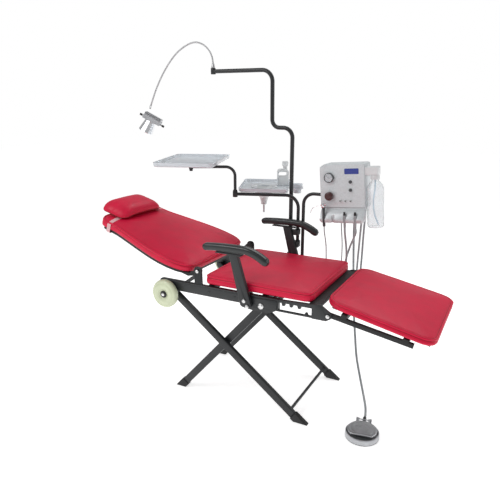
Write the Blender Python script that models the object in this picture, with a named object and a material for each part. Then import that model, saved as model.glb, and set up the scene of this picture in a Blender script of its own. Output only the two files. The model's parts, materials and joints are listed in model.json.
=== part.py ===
"""Portable folding dental chair with lamp, tray, cuspidor, turbine unit and foot pedal.

Metres. +X points to the foot end, +Y to the equipment side, +Z up. The floor is Z = 0.
The parts are laid out with the chair's own centre line on Y = 0, and moved at the end so that
the origin lies under the middle of the chair and its equipment together.
"""

import math

import bmesh
import bpy
from mathutils import Matrix, Vector

for ob in list(bpy.data.objects):
    bpy.data.objects.remove(ob, do_unlink=True)

COLL = bpy.context.scene.collection
SIDES = (("near", -1.0), ("far", 1.0))
SIDE_SHARE = 0.76                 # one value that thins the sides of every turned solid
LEAST_SIDES = 8


# ---------------------------------------------------------------- helpers
def face_outward(bm):
    """Every face points out of the solid, a thin-walled one included."""
    bmesh.ops.recalc_face_normals(bm, faces=bm.faces)
    if bm.calc_volume(signed=True) < 0:
        bmesh.ops.reverse_faces(bm, faces=bm.faces)


def finish(bm, name):
    bmesh.ops.remove_doubles(bm, verts=bm.verts, dist=1e-6)
    face_outward(bm)
    me = bpy.data.meshes.new(name)
    bm.to_mesh(me)
    bm.free()
    ob = bpy.data.objects.new(name, me)
    COLL.objects.link(ob)
    return ob


def move(ob, m):
    ob.data.transform(m)
    bm = bmesh.new()
    bm.from_mesh(ob.data)
    face_outward(bm)
    bm.to_mesh(ob.data)
    bm.free()
    return ob


def box(name, x0, x1, y0, y1, z0, z1, bevel=0.0, seg=1):
    bm = bmesh.new()
    bmesh.ops.create_cube(bm, size=1.0)
    for v in bm.verts:
        v.co = Vector((
            x0 if v.co.x < 0 else x1,
            y0 if v.co.y < 0 else y1,
            z0 if v.co.z < 0 else z1,
        ))
    if bevel:
        bmesh.ops.bevel(bm, geom=list(bm.edges), offset=bevel, segments=seg,
                        affect="EDGES", profile=0.5)
    return finish(bm, name)


def prism(name, pts, y0, y1, bevel=0.0):
    """A plate: an XZ outline, extruded from y0 to y1, its rims chamfered by bevel."""
    bm = bmesh.new()
    lo, hi = min(y0, y1), max(y0, y1)
    n = len(pts)
    cx = sum(p[0] for p in pts) / n
    cz = sum(p[1] for p in pts) / n

    def ring(y, inset):
        out = []
        for i, (x, z) in enumerate(pts):
            if inset:
                (ax, az), (bx, bz) = pts[i - 1], pts[(i + 1) % n]
                e1 = Vector((x - ax, z - az)).normalized()
                e2 = Vector((bx - x, bz - z)).normalized()
                s = 1.0 if area > 0 else -1.0
                n1 = Vector((-e1.y, e1.x)) * s
                n2 = Vector((-e2.y, e2.x)) * s
                m = n1 + n2
                m = m / max(m.dot(n1), 0.35)
                x, z = x + m.x * inset, z + m.y * inset
            out.append(bm.verts.new((x, y, z)))
        return out

    area = sum(pts[i - 1][0] * pts[i][1] - pts[i][0] * pts[i - 1][1] for i in range(n))
    if bevel:
        rings = [ring(lo, bevel), ring(lo + bevel, 0), ring(hi - bevel, 0), ring(hi, bevel)]
    else:
        rings = [ring(lo, 0), ring(hi, 0)]
    bm.faces.new(rings[0])
    bm.faces.new(list(reversed(rings[-1])))
    for a, b in zip(rings, rings[1:]):
        for i in range(n):
            j = (i + 1) % n
            bm.faces.new((a[i], a[j], b[j], b[i]))
    return finish(bm, name)


def loft(name, rings):
    """Closed body through rings of equal length, capped at both ends."""
    bm = bmesh.new()
    vs = [[bm.verts.new(p) for p in r] for r in rings]
    n = len(vs[0])
    for a, b in zip(vs, vs[1:]):
        for i in range(n):
            j = (i + 1) % n
            bm.faces.new((a[i], a[j], b[j], b[i]))
    bm.faces.new(vs[0])
    bm.faces.new(list(reversed(vs[-1])))
    return finish(bm, name)


def frame_of(axis):
    a = Vector(axis).normalized()
    t = Vector((0, 0, 1)) if abs(a.z) < 0.9 else Vector((1, 0, 0))
    u = a.cross(t).normalized()
    return a, u, a.cross(u).normalized()


def lathe(name, origin, axis, profile, n=24):
    """Solid of revolution. profile holds (distance along the axis, radius); closed loop if it returns."""
    a, u, w = frame_of(axis)
    n = max(LEAST_SIDES, int(round(n * SIDE_SHARE)))
    o = Vector(origin)
    bm = bmesh.new()
    rings = []
    for t, r in profile:
        if r <= 1e-7:
            rings.append([bm.verts.new(o + a * t)])
        else:
            rings.append([
                bm.verts.new(o + a * t + (u * math.cos(k) + w * math.sin(k)) * r)
                for k in (2 * math.pi * i / n for i in range(n))
            ])
    loop = profile[0][1] > 1e-7 and profile[-1][1] > 1e-7
    pairs = list(zip(rings, rings[1:]))
    if loop:
        pairs.append((rings[-1], rings[0]))
    for p, q in pairs:
        if len(p) == 1 and len(q) == 1:
            continue
        for i in range(n):
            j = (i + 1) % n
            if len(p) == 1:
                bm.faces.new((p[0], q[j], q[i]))
            elif len(q) == 1:
                bm.faces.new((p[i], p[j], q[0]))
            else:
                bm.faces.new((p[i], p[j], q[j], q[i]))
    return finish(bm, name)


def rod(name, a, b, r, n=16, chamfer=0.0):
    a, b = Vector(a), Vector(b)
    length = (b - a).length
    if chamfer:
        prof = [(0, 0), (0, r - chamfer), (chamfer, r), (length - chamfer, r), (length, r - chamfer),
                (length, 0)]
    else:
        prof = [(0, 0), (0, r), (length, r), (length, 0)]
    return lathe(name, a, b - a, prof, n)


def bent(points, radius, step=18.0):
    """Route through corner points, each corner rounded to the radius."""
    pts = [Vector(p) for p in points]
    out = [pts[0]]
    for i in range(1, len(pts) - 1):
        p, a, b = pts[i], pts[i - 1], pts[i + 1]
        r = radius[i - 1] if isinstance(radius, (list, tuple)) else radius
        d1, d2 = (a - p).normalized(), (b - p).normalized()
        turn = math.pi - d1.angle(d2)
        cut = r * math.tan(turn / 2)
        s, e = p + d1 * cut, p + d2 * cut
        c = p + (d1 + d2).normalized() * (r / math.cos(turn / 2))
        k = max(2, int(round(math.degrees(turn) / step)))
        v0, v1 = s - c, e - c
        for m in range(k + 1):
            f = m / k
            v = v0 * math.sin((1 - f) * turn) + v1 * math.sin(f * turn)
            out.append(c + v / math.sin(turn))
    out.append(pts[-1])
    return out


def smooth(points, gap):
    """Evenly spaced points on a smooth curve through the route's own points."""
    p = [Vector(q) for q in points]
    ext = [p[0] * 2 - p[1]] + p + [p[-1] * 2 - p[-2]]
    dense = []
    for i in range(1, len(ext) - 2):
        a, b, c, d = ext[i - 1], ext[i], ext[i + 1], ext[i + 2]
        for k in range(24):
            t = k / 24
            dense.append(0.5 * (2 * b + (c - a) * t + (2 * a - 5 * b + 4 * c - d) * t * t
                                + (3 * b - a - 3 * c + d) * t ** 3))
    dense.append(p[-1])
    total = sum((b - a).length for a, b in zip(dense, dense[1:]))
    n = max(2, int(round(total / gap)))
    out, run, k = [dense[0]], 0.0, 1
    for a, b in zip(dense, dense[1:]):
        seg = (b - a).length
        while k < n and run + seg >= total * k / n:
            out.append(a.lerp(b, (total * k / n - run) / seg))
            k += 1
        run += seg
    out.append(dense[-1])
    return out


def cable(name, pts, r, res=2):
    cu = bpy.data.curves.new(name, "CURVE")
    cu.dimensions = "3D"
    cu.bevel_depth = r
    cu.bevel_resolution = res
    cu.use_fill_caps = True
    sp = cu.splines.new("POLY")
    sp.points.add(len(pts) - 1)
    for q, p in zip(sp.points, pts):
        q.co = (p[0], p[1], p[2], 1.0)
    ob = bpy.data.objects.new(name, cu)
    COLL.objects.link(ob)
    return ob


def sweep(name, pts, r, n=12):
    """A round bar along a route, as a mesh."""
    pts = [Vector(p) for p in pts]
    rings = []
    t0 = (pts[1] - pts[0]).normalized()
    _, u, _ = frame_of(t0)
    for i, p in enumerate(pts):
        a = pts[max(i - 1, 0)]
        b = pts[min(i + 1, len(pts) - 1)]
        t = (b - a).normalized()
        if 0 < i < len(pts) - 1:
            d1, d2 = (p - a).normalized(), (b - p).normalized()
            t = (d1 + d2).normalized()
        u = (u - t * u.dot(t)).normalized()
        w = t.cross(u)
        rings.append([p + (u * math.cos(k) + w * math.sin(k)) * r
                      for k in (2 * math.pi * j / n for j in range(n))])
    return loft(name, rings)


def boolean(ob, other, how):
    md = ob.modifiers.new("b", "BOOLEAN")
    md.operation = how
    md.solver = "EXACT"
    md.object = other
    dg = bpy.context.evaluated_depsgraph_get()
    dg.update()
    me = bpy.data.meshes.new_from_object(ob.evaluated_get(dg))
    ob.modifiers.clear()
    old = ob.data
    ob.data = me
    bpy.data.meshes.remove(old)
    bpy.data.objects.remove(other, do_unlink=True)
    return ob


def weld(name, obs):
    base = obs[0]
    for o in obs[1:]:
        boolean(base, o, "UNION")
    base.name = name
    base.data.name = name
    return base


def cut(ob, others):
    for o in others:
        boolean(ob, o, "DIFFERENCE")
    return ob


def round_outline(corners, radius, n=5):
    """An outline whose corners are rounded: corners (a, b), one radius for each."""
    out = []
    m = len(corners)
    for i in range(m):
        p = Vector(corners[i]).to_2d()
        a = Vector(corners[i - 1]).to_2d()
        b = Vector(corners[(i + 1) % m]).to_2d()
        r = radius[i] if isinstance(radius, (list, tuple)) else radius
        if r <= 0:
            out.append((p.x, p.y))
            continue
        d1, d2 = (a - p).normalized(), (b - p).normalized()
        turn = math.pi - math.acos(max(-1.0, min(1.0, d1.dot(d2))))
        cutl = r * math.tan(turn / 2)
        c = p + (d1 + d2).normalized() * (r / math.cos(turn / 2))
        v0, v1 = p + d1 * cutl - c, p + d2 * cutl - c
        for k in range(n + 1):
            f = k / n
            v = (v0 * math.sin((1 - f) * turn) + v1 * math.sin(f * turn)) / math.sin(turn)
            out.append((c.x + v.x, c.y + v.y))
    return out


def cushion(name, outline, w0, w1, crown, round_low=0.007, round_high=0.016):
    """A padded board in its own (a, b, height) frame: soft rim, crowned top."""
    n = len(outline)
    cx = sum(p[0] for p in outline) / n
    cy = sum(p[1] for p in outline) / n

    def ring(inset, w):
        out = []
        for x, y in outline:
            d = Vector((x - cx, y - cy))
            k = 1.0 - inset / max(d.length, 1e-6) * 1.12
            out.append((cx + d.x * k, cy + d.y * k, w))
        return out

    h = round_high
    rings = [
        ring(round_low, w0),
        ring(0, w0 + round_low),
        ring(0, w1 - h),
        ring(h * 0.22, w1 - h * 0.45),
        ring(h * 0.8, w1 - h * 0.08),
        ring(h * 1.9, w1 + crown * 0.18),
    ]
    for f, g in ((0.34, 0.62), (0.68, 0.93)):
        rings.append([(cx + (x - cx) * (1 - f), cy + (y - cy) * (1 - f), w1 + crown * g) for x,
                      y in outline])
    bm = bmesh.new()
    vs = [[bm.verts.new(p) for p in r] for r in rings]
    for a, b in zip(vs, vs[1:]):
        for i in range(n):
            j = (i + 1) % n
            bm.faces.new((a[i], a[j], b[j], b[i]))
    bm.faces.new(vs[0])
    top = bm.verts.new((cx, cy, w1 + crown))
    for i in range(n):
        bm.faces.new((vs[-1][i], vs[-1][(i + 1) % n], top))
    return finish(bm, name)


def local(origin, angle, flip=False):
    """Frame of a tilted panel: local x runs along the panel, local z is its normal."""
    c, s = math.cos(angle), math.sin(angle)
    if flip:
        m = Matrix(((-c, 0, s, origin[0]), (0, 1, 0, origin[1]), (s, 0, c, origin[2]), (0, 0, 0, 1)))
    else:
        m = Matrix(((c, 0, -s, origin[0]), (0, 1, 0, origin[1]), (s, 0, c, origin[2]), (0, 0, 0, 1)))
    return m


# ---------------------------------------------------------------- main dimensions
WHEEL_AXLE = (-0.362, 0.545)      # x, z of wheel axle and outer-leg pivot
SEAT_PIN = (0.156, 0.568)         # top pin of the inner legs
BACK_PIN = (-0.184, 0.680)        # backrest pivot
LEGREST_PIN = (0.470, 0.578)      # leg-rest pivot
ARM_PIN = (0.085, 0.590)
BACK_TILT = math.radians(16.0)
LEG_TILT = math.radians(-12.0)
POLE = (0.016, 0.365)             # lamp pole
BOLT_BORE = 0.0068                # bore of the scissor bolt in the side rail
PIN_BORE = 0.0056                 # bore of the other pins
TRAY_POST = (0.072, 0.335)        # tray support tube
UNIT_POST = (0.102, 0.335)        # turbine unit tube

# ---------------------------------------------------------------- seat frame
for side, s in SIDES:
    def yy(a, b):
        return (s * a, s * b)

    parts = [
        prism("r", round_outline([(-0.405, 0.563), (0.240, 0.563), (0.240, 0.613), (-0.405, 0.613)],
                                 [0.004, 0, 0, 0.008], 2), *yy(0.253, 0.277), bevel=0.0025),
        prism("ear", round_outline([(-0.400, 0.575), (-0.400, 0.520), (-0.324, 0.520), (-0.324, 0.575)],
                                   [0, 0.016, 0.016, 0], 3), *yy(0.254, 0.276)),
        prism("lobe", round_outline([(0.055, 0.600), (0.062, 0.570), (0.082, 0.546), (0.118, 0.541),
                                     (0.196, 0.541), (0.232, 0.560), (0.236, 0.606)],
                                    [0.002, 0.010, 0.014, 0.006, 0.010, 0.006, 0.002], 2),
                                    *yy(0.272, 0.281)),
        prism("rack", [(0.230, 0.599), (0.253, 0.599), (0.257, 0.586), (0.268, 0.586), (0.272, 0.599),
                       (0.290, 0.599), (0.294, 0.586), (0.305, 0.586), (0.309, 0.599),
                       (0.328, 0.599), (0.332, 0.586), (0.343, 0.586), (0.347, 0.599),
                       (0.410, 0.599), (0.410, 0.618), (0.236, 0.612)], *yy(0.259, 0.271)),
        prism("guide", [(0.200, 0.5555), (0.420, 0.5555), (0.420, 0.5625), (0.378, 0.5625), (0.374, 0.573),
                        (0.366, 0.573), (0.362, 0.5625), (0.200, 0.5625)], *yy(0.259, 0.271)),
        prism("end", round_outline([(0.396, 0.620), (0.396, 0.554), (0.462, 0.554), (0.486, 0.570),
                                    (0.484, 0.592), (0.436, 0.623)],
                                   [0.003, 0.003, 0.006, 0.008, 0.010, 0.006], 2), *yy(0.265, 0.273)),
        prism("post", round_outline([(-0.202, 0.606), (-0.160, 0.606), (-0.162, 0.702), (-0.206, 0.702)],
                                    [0, 0, 0.019, 0.019], 4), *yy(0.265, 0.272)),
        prism("brace", [(-0.272, 0.608), (-0.244, 0.608), (-0.196, 0.642), (-0.200, 0.662)],
              *yy(0.2665, 0.2705)),
    ]
    rail = weld("side_rail_" + side, parts)
    cut(rail, [
        rod("c", (x, s * 0.24, z), (x, s * 0.30, z), radius)
        for (x, z), radius in ((SEAT_PIN, BOLT_BORE), (BACK_PIN, PIN_BORE), (LEGREST_PIN, PIN_BORE),
                               (WHEEL_AXLE, PIN_BORE), (ARM_PIN, PIN_BORE))
    ])

weld("seat_subframe", [
    box("a", -0.140, 0.386, -0.240, 0.240, 0.6135, 0.6205),
    box("b", -0.135, -0.105, -0.2525, 0.2525, 0.592, 0.615),
    box("c", 0.150, 0.180, -0.2525, 0.2525, 0.592, 0.615),
    box("d", 0.380, 0.428, -0.2585, 0.2585, 0.600, 0.6185),
])

seat_outline = round_outline([(-0.150, -0.268), (0.392, -0.270), (0.392, 0.270), (-0.150, 0.268)],
                             [0.030, 0.030, 0.030, 0.030], 4)


def filled(outline, step=0.06):
    """The outline with long straight runs divided."""
    out = []
    for i, p in enumerate(outline):
        q = outline[(i + 1) % len(outline)]
        d = math.dist(p, q)
        k = max(1, int(round(d / step)))
        for m in range(k):
            out.append((p[0] + (q[0] - p[0]) * m / k, p[1] + (q[1] - p[1]) * m / k))
    return out


cushion("seat_cushion", filled(seat_outline, 0.10), 0.621, 0.668, 0.012)

# inner-leg top pins
for side, s in SIDES:
    x, z = SEAT_PIN
    lathe("scissor_bolt_" + side, (x, s * 0.2183, z), (0, s, 0),
          [(0, 0), (0, 0.0060), (0.0632, 0.0060), (0.0632, 0.0135), (0.0675, 0.0135), (0.0700, 0.0105),
           (0.0700, 0)], 20)

# ---------------------------------------------------------------- legs


def leg_point(pin, foot, t, w):
    dx, dz = foot[0] - pin[0], foot[1] - pin[1]
    n = math.hypot(dx, dz)
    dx, dz = dx / n, dz / n
    return (pin[0] + dx * t + dz * w, pin[1] + dz * t - dx * w)


def leg(name, pin, foot, s, y0, y1, half, foot_at):
    """A straight leg from its pin down to where the foot cap starts."""
    n = math.hypot(foot[0] - pin[0], foot[1] - pin[1])
    end = n - foot_at
    pts = []
    for k in range(7):
        a = math.pi / 2 + math.pi * k / 6
        pts.append(leg_point(pin, foot, math.cos(a) * half, math.sin(a) * half))
    pts += [leg_point(pin, foot, end, -half), leg_point(pin, foot, end, half)]
    return prism(name, pts, s * y0, s * y1, bevel=0.0025)


def foot_cap(name, pin, foot, s, y0, y1, half, foot_at):
    n = math.hypot(foot[0] - pin[0], foot[1] - pin[1])
    start = n - foot_at + 0.0003
    a, b = leg_point(pin, foot, start, -half), leg_point(pin, foot, start, half)

    def ground(w):
        p = leg_point(pin, foot, 0, w)
        q = leg_point(pin, foot, 1, w)
        t = (0.0 - p[1]) / (q[1] - p[1])
        return (p[0] + (q[0] - p[0]) * t, 0.0)

    lo, hi = ground(-half), ground(half)
    return prism(name, [a, lo, hi, b], s * y0, s * y1, bevel=0.002)


A_FOOT = (0.346, 0.0)             # x, z where the outer legs' centre lines meet the floor
B_FOOT = (-0.346, 0.0)            # the same for the inner legs
LEG_HALF = 0.0190                 # half the width of a leg's bar
CAP_HALF = 0.022                  # half the width of its rubber foot
CAP_LENGTH = 0.050                # how far up the leg the foot reaches
pieces = []
for side, s in SIDES:
    pieces.append(leg("l", WHEEL_AXLE, A_FOOT, s, 0.222, 0.242, LEG_HALF, CAP_LENGTH))
    x, z = WHEEL_AXLE
    pieces.append(rod("p", (x, s * 0.240, z), (x, s * 0.2527, z), 0.009, 12))
    foot_cap("outer_foot_" + side, WHEEL_AXLE, A_FOOT, s, 0.219, 0.245, CAP_HALF, CAP_LENGTH)
pieces.append(rod("x", (0.290, -0.225, 0.050), (0.290, 0.225, 0.050), 0.0075, 12))
weld("outer_leg_frame", pieces)

pieces = []
for side, s in SIDES:
    pieces.append(leg("l", SEAT_PIN, B_FOOT, s, 0.198, 0.218, LEG_HALF, CAP_LENGTH))
    foot_cap("inner_foot_" + side, SEAT_PIN, B_FOOT, s, 0.195, 0.2205, CAP_HALF, CAP_LENGTH)
x, z = leg_point(SEAT_PIN, B_FOOT, 0.060, 0.0)
pieces.append(rod("x", (x, -0.200, z), (x, 0.200, z), 0.0090, 12))
weld("inner_leg_frame", pieces)

# ---------------------------------------------------------------- wheels
for side, s in SIDES:
    x, z = WHEEL_AXLE
    lathe("wheel_" + side, (x, s * 0.2795, z), (0, s, 0),
          [(0.0, 0.0062), (0.0, 0.062), (0.005, 0.0712), (0.025, 0.0712),
           (0.0325, 0.060), (0.0360, 0.040), (0.0285, 0.022), (0.0285, 0.0062)], 28)
    lathe("wheel_hub_" + side, (x, s * 0.2545, z), (0, s, 0),
          [(0, 0), (0, 0.0050), (0.0546, 0.0050), (0.0546, 0.0175), (0.0580, 0.0170), (0.0595, 0.0100),
           (0.0630, 0.0075), (0.0640, 0)], 16)

# ---------------------------------------------------------------- backrest


def panel_bolt(s, head_from, shoulder, end):
    """A pivot bolt of a tilted panel: its shank through the rail, and a low round head."""
    return lathe("bolt", (0, s * 0.260, 0), (0, s, 0),
                 [(0, 0), (0, 0.0050), (head_from, 0.0050), (head_from, 0.0095), (shoulder, 0.0090),
                  (end, 0.0060), (end, 0)], 14)


BACK = local((BACK_PIN[0], 0, BACK_PIN[1]), BACK_TILT, flip=True)
back_outline = [(0.045, 0.215), (0.052, 0.248), (0.075, 0.272), (0.110, 0.288), (0.160, 0.296),
                (0.215, 0.296), (0.275, 0.289), (0.335, 0.277), (0.395, 0.263), (0.445, 0.251),
                (0.500, 0.238), (0.545, 0.2285), (0.575, 0.2260), (0.618, 0.2255), (0.647, 0.2180),
                (0.666, 0.196), (0.680, 0.160)]
loop = [(u, y) for u, y in back_outline] + [(0.684, 0.08), (0.685, 0.0), (0.684, -0.08)]
loop += [(u, -y) for u, y in reversed(back_outline)] + [(0.042, -0.14), (0.041, -0.05), (0.041, 0.05),
                                                        (0.042, 0.14)]
move(cushion("backrest_cushion", loop, -0.036, 0.004, 0.024, 0.006, 0.018), BACK)

board = [(u, y * 0.955) for u, y in loop]
rings = [[(0.353 + (u - 0.353) * 0.975, y, w) for u, y in board] for w in (-0.0520, -0.0365)]
parts = [loft("b", rings), box("x", 0.052, 0.090, -0.262, 0.262, -0.0520, -0.0366)]
for s in (-1, 1):
    lug = round_outline([(-0.016, 0.016), (0.010, 0.016), (0.042, -0.037), (0.092, -0.0370),
                         (0.092, -0.0520),
                         (0.050, -0.0520), (-0.016, -0.016)],
                         [0.014, 0.010, 0.004, 0.002, 0.002, 0.004, 0.014], 2)
    parts.append(prism("lug", lug, s * 0.2525, s * 0.2620))
    parts.append(panel_bolt(s, 0.0128, 0.0165, 0.0180))
frame = weld("backrest_frame", parts)
cut(frame, [box("c", 0.0, 0.100, -0.2520, 0.2520, -0.0363, 0.030)])
move(frame, BACK)

# pillow and its elastic strap
pil = round_outline([(0.550, -0.157), (0.718, -0.157), (0.718, 0.157), (0.550, 0.157)], [0.035] * 4, 4)
pil = filled(pil, 0.07)
n = len(pil)
cx, cy = 0.634, 0.0
rings = []
for k, w in ((0.72, 0.0330), (0.90, 0.0365), (0.985, 0.0440), (1.0, 0.0530), (0.965, 0.0640),
             (0.87, 0.0750),
             (0.70, 0.0830), (0.45, 0.0885), (0.2, 0.0905)):
    rings.append([(cx + (u - cx) * k, cy + (y - cy) * (1 - (1 - k) * 0.62), w) for u, y in pil])
move(loft("pillow", rings), BACK)

outer = round_outline([(-0.2300, -0.0555), (0.2300, -0.0555), (0.2300, 0.0318), (-0.2300, 0.0318)],
                      [0.006, 0.006, 0.022, 0.022], 4)
inner = round_outline([(-0.2282, -0.0537), (0.2282, -0.0537), (0.2282, 0.0300), (-0.2282, 0.0300)],
                      [0.0045, 0.0045, 0.0205, 0.0205], 4)
bm = bmesh.new()
u0, u1 = 0.584, 0.606
vo0 = [bm.verts.new((u0, y, w)) for y, w in outer]
vo1 = [bm.verts.new((u1, y, w)) for y, w in outer]
vi0 = [bm.verts.new((u0, y, w)) for y, w in inner]
vi1 = [bm.verts.new((u1, y, w)) for y, w in inner]
for i in range(len(outer)):
    j = (i + 1) % len(outer)
    bm.faces.new((vo0[i], vo0[j], vo1[j], vo1[i]))
    bm.faces.new((vi0[i], vi1[i], vi1[j], vi0[j]))
    bm.faces.new((vo0[i], vi0[i], vi0[j], vo0[j]))
    bm.faces.new((vo1[i], vo1[j], vi1[j], vi1[i]))
move(finish(bm, "pillow_strap"), BACK)

# ---------------------------------------------------------------- leg rest
LEG = local((LEGREST_PIN[0], 0, LEGREST_PIN[1]), LEG_TILT)
rest_outline = round_outline([(-0.030, -0.262), (0.440, -0.272), (0.440, 0.272), (-0.030, 0.262)],
                             [0.070, 0.060, 0.060, 0.070], 5)
move(cushion("legrest_cushion", filled(rest_outline, 0.10), 0.036, 0.072, 0.014), LEG)

parts = [box("b", 0.000, 0.420, -0.240, 0.240, 0.0280, 0.0355),
         box("x1", 0.050, 0.076, -0.2615, 0.2615, 0.0020, 0.0290),
         box("x2", 0.315, 0.341, -0.2615, 0.2615, 0.0080, 0.0290)]
for s in (-1, 1):
    turns = [math.pi / 2 + math.pi * k / 6 for k in range(7)]
    bar = [(0.010 * math.cos(a), 0.0105 * math.sin(a)) for a in turns]
    bar = bar + [(0.362, 0.0010), (0.362, 0.0215)]
    parts.append(prism("bar", bar, s * 0.2460, s * 0.2620, bevel=0.0015))
    parts.append(panel_bolt(s, 0.0138, 0.0170, 0.0185))
move(weld("legrest_frame", parts), LEG)

# ---------------------------------------------------------------- armrests
ARM_TOP = [(-0.128, 0.812), (-0.122, 0.826), (-0.104, 0.8375), (-0.040, 0.8420), (0.040, 0.8445),
           (0.090, 0.8440),
           (0.125, 0.8360), (0.163, 0.8220), (0.190, 0.8030), (0.204, 0.7880)]
ARM_LOW = [(-0.122, 0.8020), (-0.100, 0.8040), (-0.020, 0.8100), (0.060, 0.8100), (0.100, 0.8070),
           (0.132, 0.7980),
           (0.162, 0.7800), (0.184, 0.7700), (0.196, 0.7690), (0.205, 0.7760)]


def pad(name, s):
    """Soft arm pad: an XZ profile with rounded flanks."""
    outline = ARM_TOP + list(reversed(ARM_LOW))
    n = len(outline)
    cx = sum(p[0] for p in outline) / n
    rings = []
    for y, k in ((-0.0205, 0.62), (-0.0180, 0.84), (-0.0120, 0.97), (0.0, 1.0), (0.0120, 0.97),
                 (0.0180, 0.84), (0.0205, 0.62)):
        ring = []
        for i, (x, z) in enumerate(outline):
            j = i if i < len(ARM_TOP) else n - 1 - i
            mx = (ARM_TOP[j][0] + ARM_LOW[j][0]) / 2
            mz = (ARM_TOP[j][1] + ARM_LOW[j][1]) / 2
            e = 0.010 * (1 - k) / 0.38
            px = mx + (x - mx) * k
            px += e if x < -0.1 else (-e if x > 0.195 else 0.0)
            ring.append((px, s * 0.3005 + y, mz + (z - mz) * k))
        rings.append(ring)
    return loft(name, rings)


for side, s in SIDES:
    post = prism("post", round_outline([(0.064, 0.560), (0.112, 0.552), (0.117, 0.575), (0.0465, 0.8060),
                                        (0.0030, 0.8060)],
                                       [0.014, 0.014, 0.006, 0.001, 0.001], 3), s * 0.2840, s * 0.3060,
                                       bevel=0.003)
    post = cut(post, [box("c", -0.02, 0.08, -0.5, 0.5, 0.8000, 0.85)])
    bolts = [lathe("b1", (ARM_PIN[0], s * 0.2580, ARM_PIN[1]), (0, s, 0),
                   [(0, 0), (0, 0.0050), (0.0470, 0.0050), (0.0470, 0.0085), (0.0515, 0.0085),
                    (0.0530, 0.0060), (0.0530, 0)], 14),
             lathe("b2", (0.101, s * 0.3000, 0.566), (0, s, 0),
                   [(0, 0), (0, 0.0080), (0.0095, 0.0080), (0.0110, 0.0060), (0.0110, 0)], 14)]
    plate = prism("top", [(-0.060, 0.7985), (0.075, 0.7985), (0.075, 0.8030), (-0.060, 0.8030)], s * 0.2880,
                  s * 0.3130)
    extra = []
    if side == "far":
        for z0, z1 in ((0.690, 0.722), (0.758, 0.786)):
            ear = prism("ear", [(0.030, z0), (0.0880, z0), (0.0880, z1), (0.030, z1)], 0.3000, 0.3230)
            hub = rod("hub", (TRAY_POST[0], TRAY_POST[1], z0), (TRAY_POST[0], TRAY_POST[1], z1), 0.0150, 18)
            extra += [ear, hub]
    ob = weld("armrest_post_" + side, [post] + bolts + [plate] + extra)
    if side == "far":
        cut(ob, [rod("c", (TRAY_POST[0], TRAY_POST[1], 0.7000), (TRAY_POST[0], TRAY_POST[1], 0.83), 0.0097,
                     20)])
    p = pad("armrest_pad_" + side, s)
    cut(p, [prism("c", [(-0.0605, 0.790), (0.0755, 0.790), (0.0755, 0.8034), (-0.0605, 0.8034)], s * 0.2875,
                  s * 0.3135),
            prism("c", [(-0.012, 0.780), (0.075, 0.780), (0.075, 0.8034), (-0.012, 0.8034)], s * 0.2795,
                  s * 0.3215)])

# ---------------------------------------------------------------- equipment bracket
px, py = POLE
ux, uy = UNIT_POST
bracket = weld("equipment_bracket", [
    box("p", -0.040, 0.130, 0.2785, 0.388, 0.5160, 0.5270),
    box("f", -0.050, 0.048, 0.2775, 0.2830, 0.5140, 0.6020),
    rod("s1", (px, py, 0.519), (px, py, 0.625), 0.0160, 20),
    rod("s2", (ux, uy, 0.521), (ux, uy, 0.625), 0.0135, 20),
])
cut(bracket, [
    rod("c", (px, py, 0.5265), (px, py, 0.700), 0.0117, 20),
    rod("c", (ux, uy, 0.5265), (ux, uy, 0.700), 0.0097, 20),
])

# ---------------------------------------------------------------- lamp
route = bent([(px, py, 0.5270), (px, py, 1.3200), (-0.103, py, 1.3200), (-0.105, py, 1.6145),
              (-0.466, py, 1.6145)],
             [0.052, 0.042, 0.060], 20.0)
pole = sweep("lamp_pole", route, 0.0110, 12)
weld("lamp_pole", [pole, rod("s", (-0.468, py, 1.5990), (-0.468, py, 1.6320), 0.0135, 18, 0.0015)])
cut(bpy.data.objects["lamp_pole"], [rod("c", (-0.468, py, 1.6120), (-0.468, py, 1.70), 0.0064, 16)])

neck_route = smooth([(-0.468, py, 1.6125), (-0.469, py, 1.655), (-0.473, py, 1.686), (-0.491, py, 1.723),
                     (-0.528, py, 1.755),
                     (-0.578, py, 1.770), (-0.634, py, 1.760), (-0.699, py, 1.726), (-0.755, py, 1.677),
                     (-0.813, py, 1.607), (-0.861, py, 1.532), (-0.895, py, 1.465), (-0.919, py, 1.412)],
                     0.030)
neck = sweep("lamp_gooseneck", neck_route, 0.0046, 8)
weld("lamp_gooseneck", [neck, lathe("f", (-0.468, py, 1.6325), (0, 0, 1),
                                    [(0, 0), (0, 0.0100), (0.006, 0.0100), (0.024, 0.0062), (0.024, 0)],
                                    14)])

tilt = math.radians(29.0)
ex = Vector((0.885, 0.466, 0.0))
ed = Vector((-0.466, 0.885, 0.0))
ez = Vector((0, 0, 1))
la = ex * math.cos(tilt) - ez * math.sin(tilt)     # long axis of the heat sink
lu = ex * math.sin(tilt) + ez * math.cos(tilt)     # up its back
LC = Vector((-0.903, py, 1.352))
LAMP = Matrix(((la.x, ed.x, lu.x, LC.x), (la.y, ed.y, lu.y, LC.y), (la.z, ed.z, lu.z, LC.z), (0, 0, 0, 1)))
sink = [box("core", -0.054, 0.054, -0.036, 0.036, -0.016, -0.002, 0.002)]
for k in range(6):
    c = -0.045 + 0.018 * k
    sink.append(box("fin", c - 0.0045, c + 0.0045, -0.036, 0.036, -0.0040, 0.0230))
sink += [
    rod("axle", (-0.078, 0, -0.006), (0.078, 0, -0.006), 0.0032, 10),
    rod("k1", (-0.080, 0, -0.006), (-0.066, 0, -0.006), 0.0062, 12),
    rod("k2", (0.066, 0, -0.006), (0.080, 0, -0.006), 0.0062, 12),
]
sink = weld("lamp_heatsink", sink)
move(sink, LAMP)
end = neck_route[-1]
cut(sink, [rod("c", tuple(end + (neck_route[-2] - end) * 3), tuple(end - (neck_route[-2] - end) * 0.15),
               0.0056, 16)])
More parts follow.
